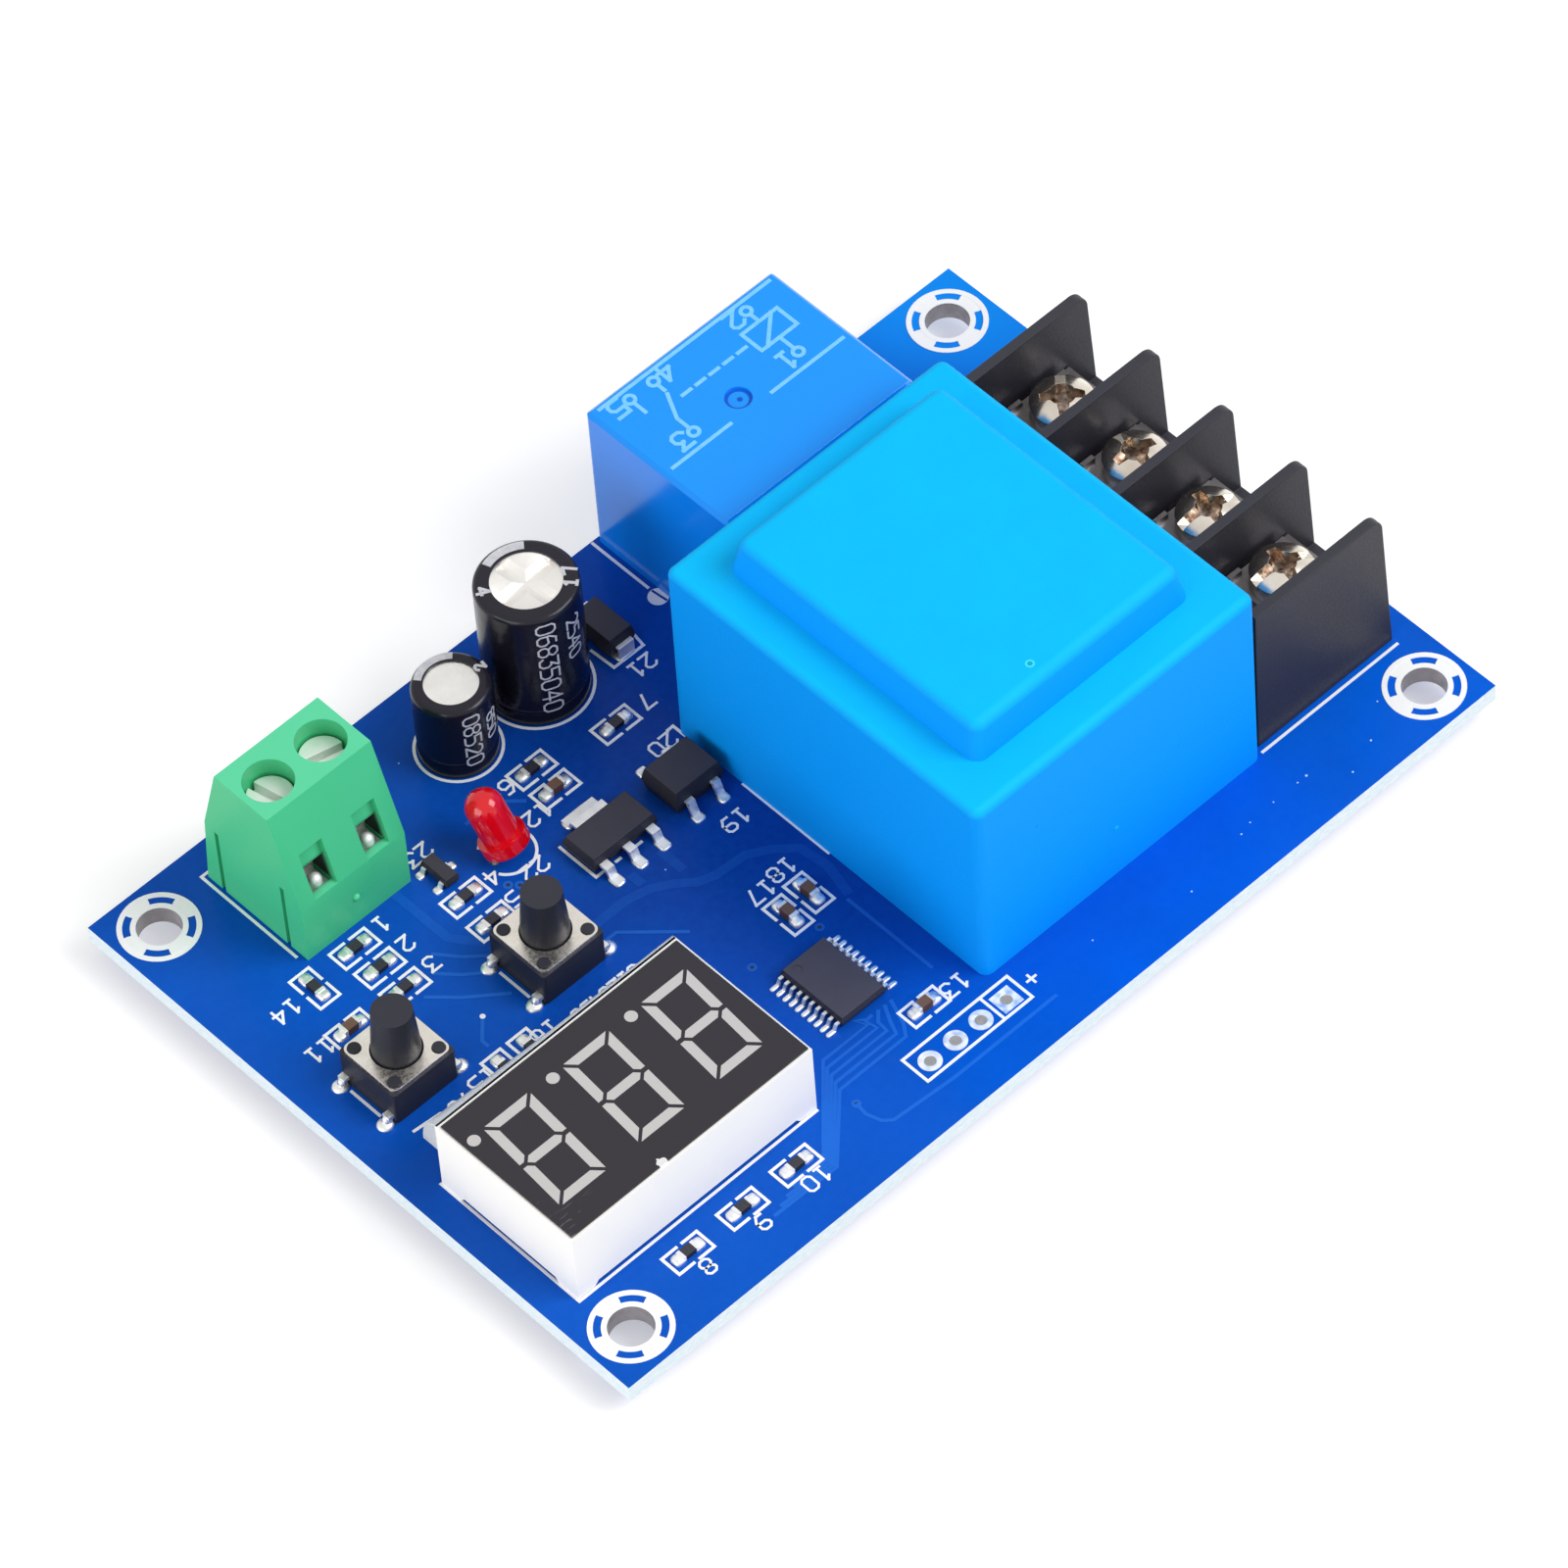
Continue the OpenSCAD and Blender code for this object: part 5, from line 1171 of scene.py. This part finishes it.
specks("settled_dust", [(x, y, 0.0, r) for x, y, r in DUST], "dust", "board_laminate", 1.0, 0.5)
specks("case_bubbles", BUBBLES, "transformer_plastic", "transformer_plastic", 0.4, 1.0)
# The transformer's mould mark stands only 0.02 mm high: its pale rim is a painted highlight and its dark
# middle a painted shade
rings("case_mould_rim_painted_highlight", [MOULD_MARK], 0.28, 0.16, 0.02, MARK_REST, 24, "case_mark_painted_highlight", "transformer_plastic")
rings("case_mould_painted_shade", [MOULD_MARK], 0.1, 0.2, 0.02, MARK_REST, 16, "case_mark_painted_shade", "transformer_plastic")
# Two dark blue rings in the relay's mould dimple, at its rim and its middle, are painted shade
dimple = [arc(RELAY[0] - 0.7, RELAY[1] + 0.5, 0.9, steps=40),
          arc(RELAY[0] - 0.6, RELAY[1] + 0.45, 0.1, steps=12)]
lay("relay_dimple_painted_shade", dimple, 0.24, "relay_dimple_painted_shade", "relay_plastic", thickness=0.02, z=DIMPLE_REST)
lay("oval_mark", [arc(50.0, 50.3, 0.41)], 0.8, "silk", "board_laminate")
lay("oval_slit", [[(50.05, 51.05), (50.2, 49.55)]], 0.2, "board_laminate", "board_laminate", z=0.03)


# Pale bead along the back edge of the display, thickest at its left end

BEAD_STEPS = 24
BEAD_TURN = 8
# Its least reach and drop, and what its left end adds to them
BEAD_REACH = (0.4, 1.15)
BEAD_DROP = (0.8, 2.2)
# How far it sinks into the housing, and stops short of the housing's ends
BEAD_SINK = 0.2
BEAD_SHORT = 0.03


def back_bead():
    """A quarter-round bead that thins out to the right, closed at both ends."""
    low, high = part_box("display_housing")
    front = high[1] - BEAD_SINK * MM
    points = []
    for i in range(BEAD_STEPS + 1):
        along = i / BEAD_STEPS
        left = (1.0 - along) ** 2
        reach, drop = [(least + more * left) * MM for least, more in (BEAD_REACH, BEAD_DROP)]
        x = low[0] + BEAD_SHORT * MM + (high[0] - low[0] - 2 * BEAD_SHORT * MM) * along
        points += [(x, front, high[2] - drop), (x, front, high[2])]
        for j in range(BEAD_TURN + 1):
            turn = math.radians(90 * j / BEAD_TURN)
            points.append((x, high[1] + reach * math.sin(turn), high[2] - drop * (1 - math.cos(turn))))
    count = BEAD_TURN + 3
    faces = []
    for i in range(BEAD_STEPS):
        for j in range(count):
            here, beside = i * count + j, i * count + (j + 1) % count
            faces.append((here, beside, beside + count, here + count))
    faces += [tuple(range(count)), tuple(range(BEAD_STEPS * count, (BEAD_STEPS + 1) * count))]
    mesh = bpy.data.meshes.new("display_bead")
    mesh.from_pydata(points, [], faces)
    mesh.materials.append(finishes["bead"])
    outward(mesh)
    for face in mesh.polygons:
        face.use_smooth = len(face.vertices) == 4
    board_piece("display_bead", mesh, "display_plastic")


back_bead()


# Floor and light

FLOOR_HALF = 4.0
# Each softbox's place and width in metres, and its power in watts
SOFTBOXES = [("front_softbox", (0.45, -0.55, 0.75), 0.6, 7.0),
             ("left_softbox", (-0.85, -0.1, 0.18), 0.7, 4.7)]


def seen_rays(tree):
    """The kinds of ray, and which rays are seen: straight, in a mirror or through something clear."""
    path = add(tree, "ShaderNodeLightPath").outputs
    seen = path["Is Camera Ray"]
    for kind in ("Is Glossy Ray", "Is Transmission Ray"):
        seen = add(tree, "ShaderNodeMath", {0: seen, 1: path[kind]}, operation="MAXIMUM")
    return path, seen


def set_floor():
    """A plain floor of matte white paper, a little brighter where it is seen than in the light it gives."""
    material, tree, _ = open_finish("paper_matte_white")
    _, seen = seen_rays(tree)
    paper = add(tree, "ShaderNodeBsdfDiffuse", {"Color": "#DEDEDE"})
    glow = add(tree, "ShaderNodeEmission", {"Color": "#FFFFFF", "Strength": 0.42})
    lit = add(tree, "ShaderNodeAddShader", {0: paper, 1: glow})
    shader = add(tree, "ShaderNodeMixShader", {0: seen, 1: paper, 2: lit})
    add(tree, "ShaderNodeOutputMaterial", {"Surface": shader})
    form = bmesh.new()
    bmesh.ops.create_grid(form, x_segments=1, y_segments=1, size=FLOOR_HALF)
    bmesh.ops.translate(form, vec=(0.0, 0.0, cad_box[0][2]), verts=form.verts[:])
    mesh = bpy.data.meshes.new("floor")
    form.to_mesh(mesh)
    form.free()
    mesh.materials.append(material)
    show("floor", mesh)


def set_sky():
    """An even white studio that lights less than it shows, with a duller ceiling in mirrors."""
    world = bpy.data.worlds.new("studio")
    world.use_nodes = True
    tree = world.node_tree
    tree.nodes.clear()
    path, seen = seen_rays(tree)
    ahead = add(tree, "ShaderNodeTexCoord").outputs["Generated"]
    rise = add(tree, "ShaderNodeSeparateXYZ", {"Vector": ahead}).outputs["Z"]
    ceiling = add(tree, "ShaderNodeMapRange", {
        "Value": rise, "From Min": 0.15, "From Max": 0.6, "To Min": 1.0, "To Max": 0.85})
    mirror = add(tree, "ShaderNodeMapRange", {
        "Value": path["Is Glossy Ray"], "To Min": 1.0, "To Max": ceiling})
    level = add(tree, "ShaderNodeMapRange", {"Value": seen, "To Min": 0.52, "To Max": mirror})
    sky = add(tree, "ShaderNodeBackground", {"Color": "#FFFFFF", "Strength": level})
    add(tree, "ShaderNodeOutputWorld", {"Surface": sky})
    bpy.context.scene.world = world


def set_softboxes():
    """Soft light from the front right and the left, each box facing the module."""
    for name, at, wide, power in SOFTBOXES:
        lamp = bpy.data.lights.new(name, "AREA")
        lamp.size = wide
        lamp.energy = power
        box = bpy.data.objects.new(name, lamp)
        box.matrix_world = Matrix.LocRotScale(at, Vector(at).to_track_quat("Z", "Y"), None)
        bpy.context.scene.collection.objects.link(box)


set_camera()
set_floor()
set_sky()
set_softboxes()
bpy.context.scene.view_settings.view_transform = "Standard"
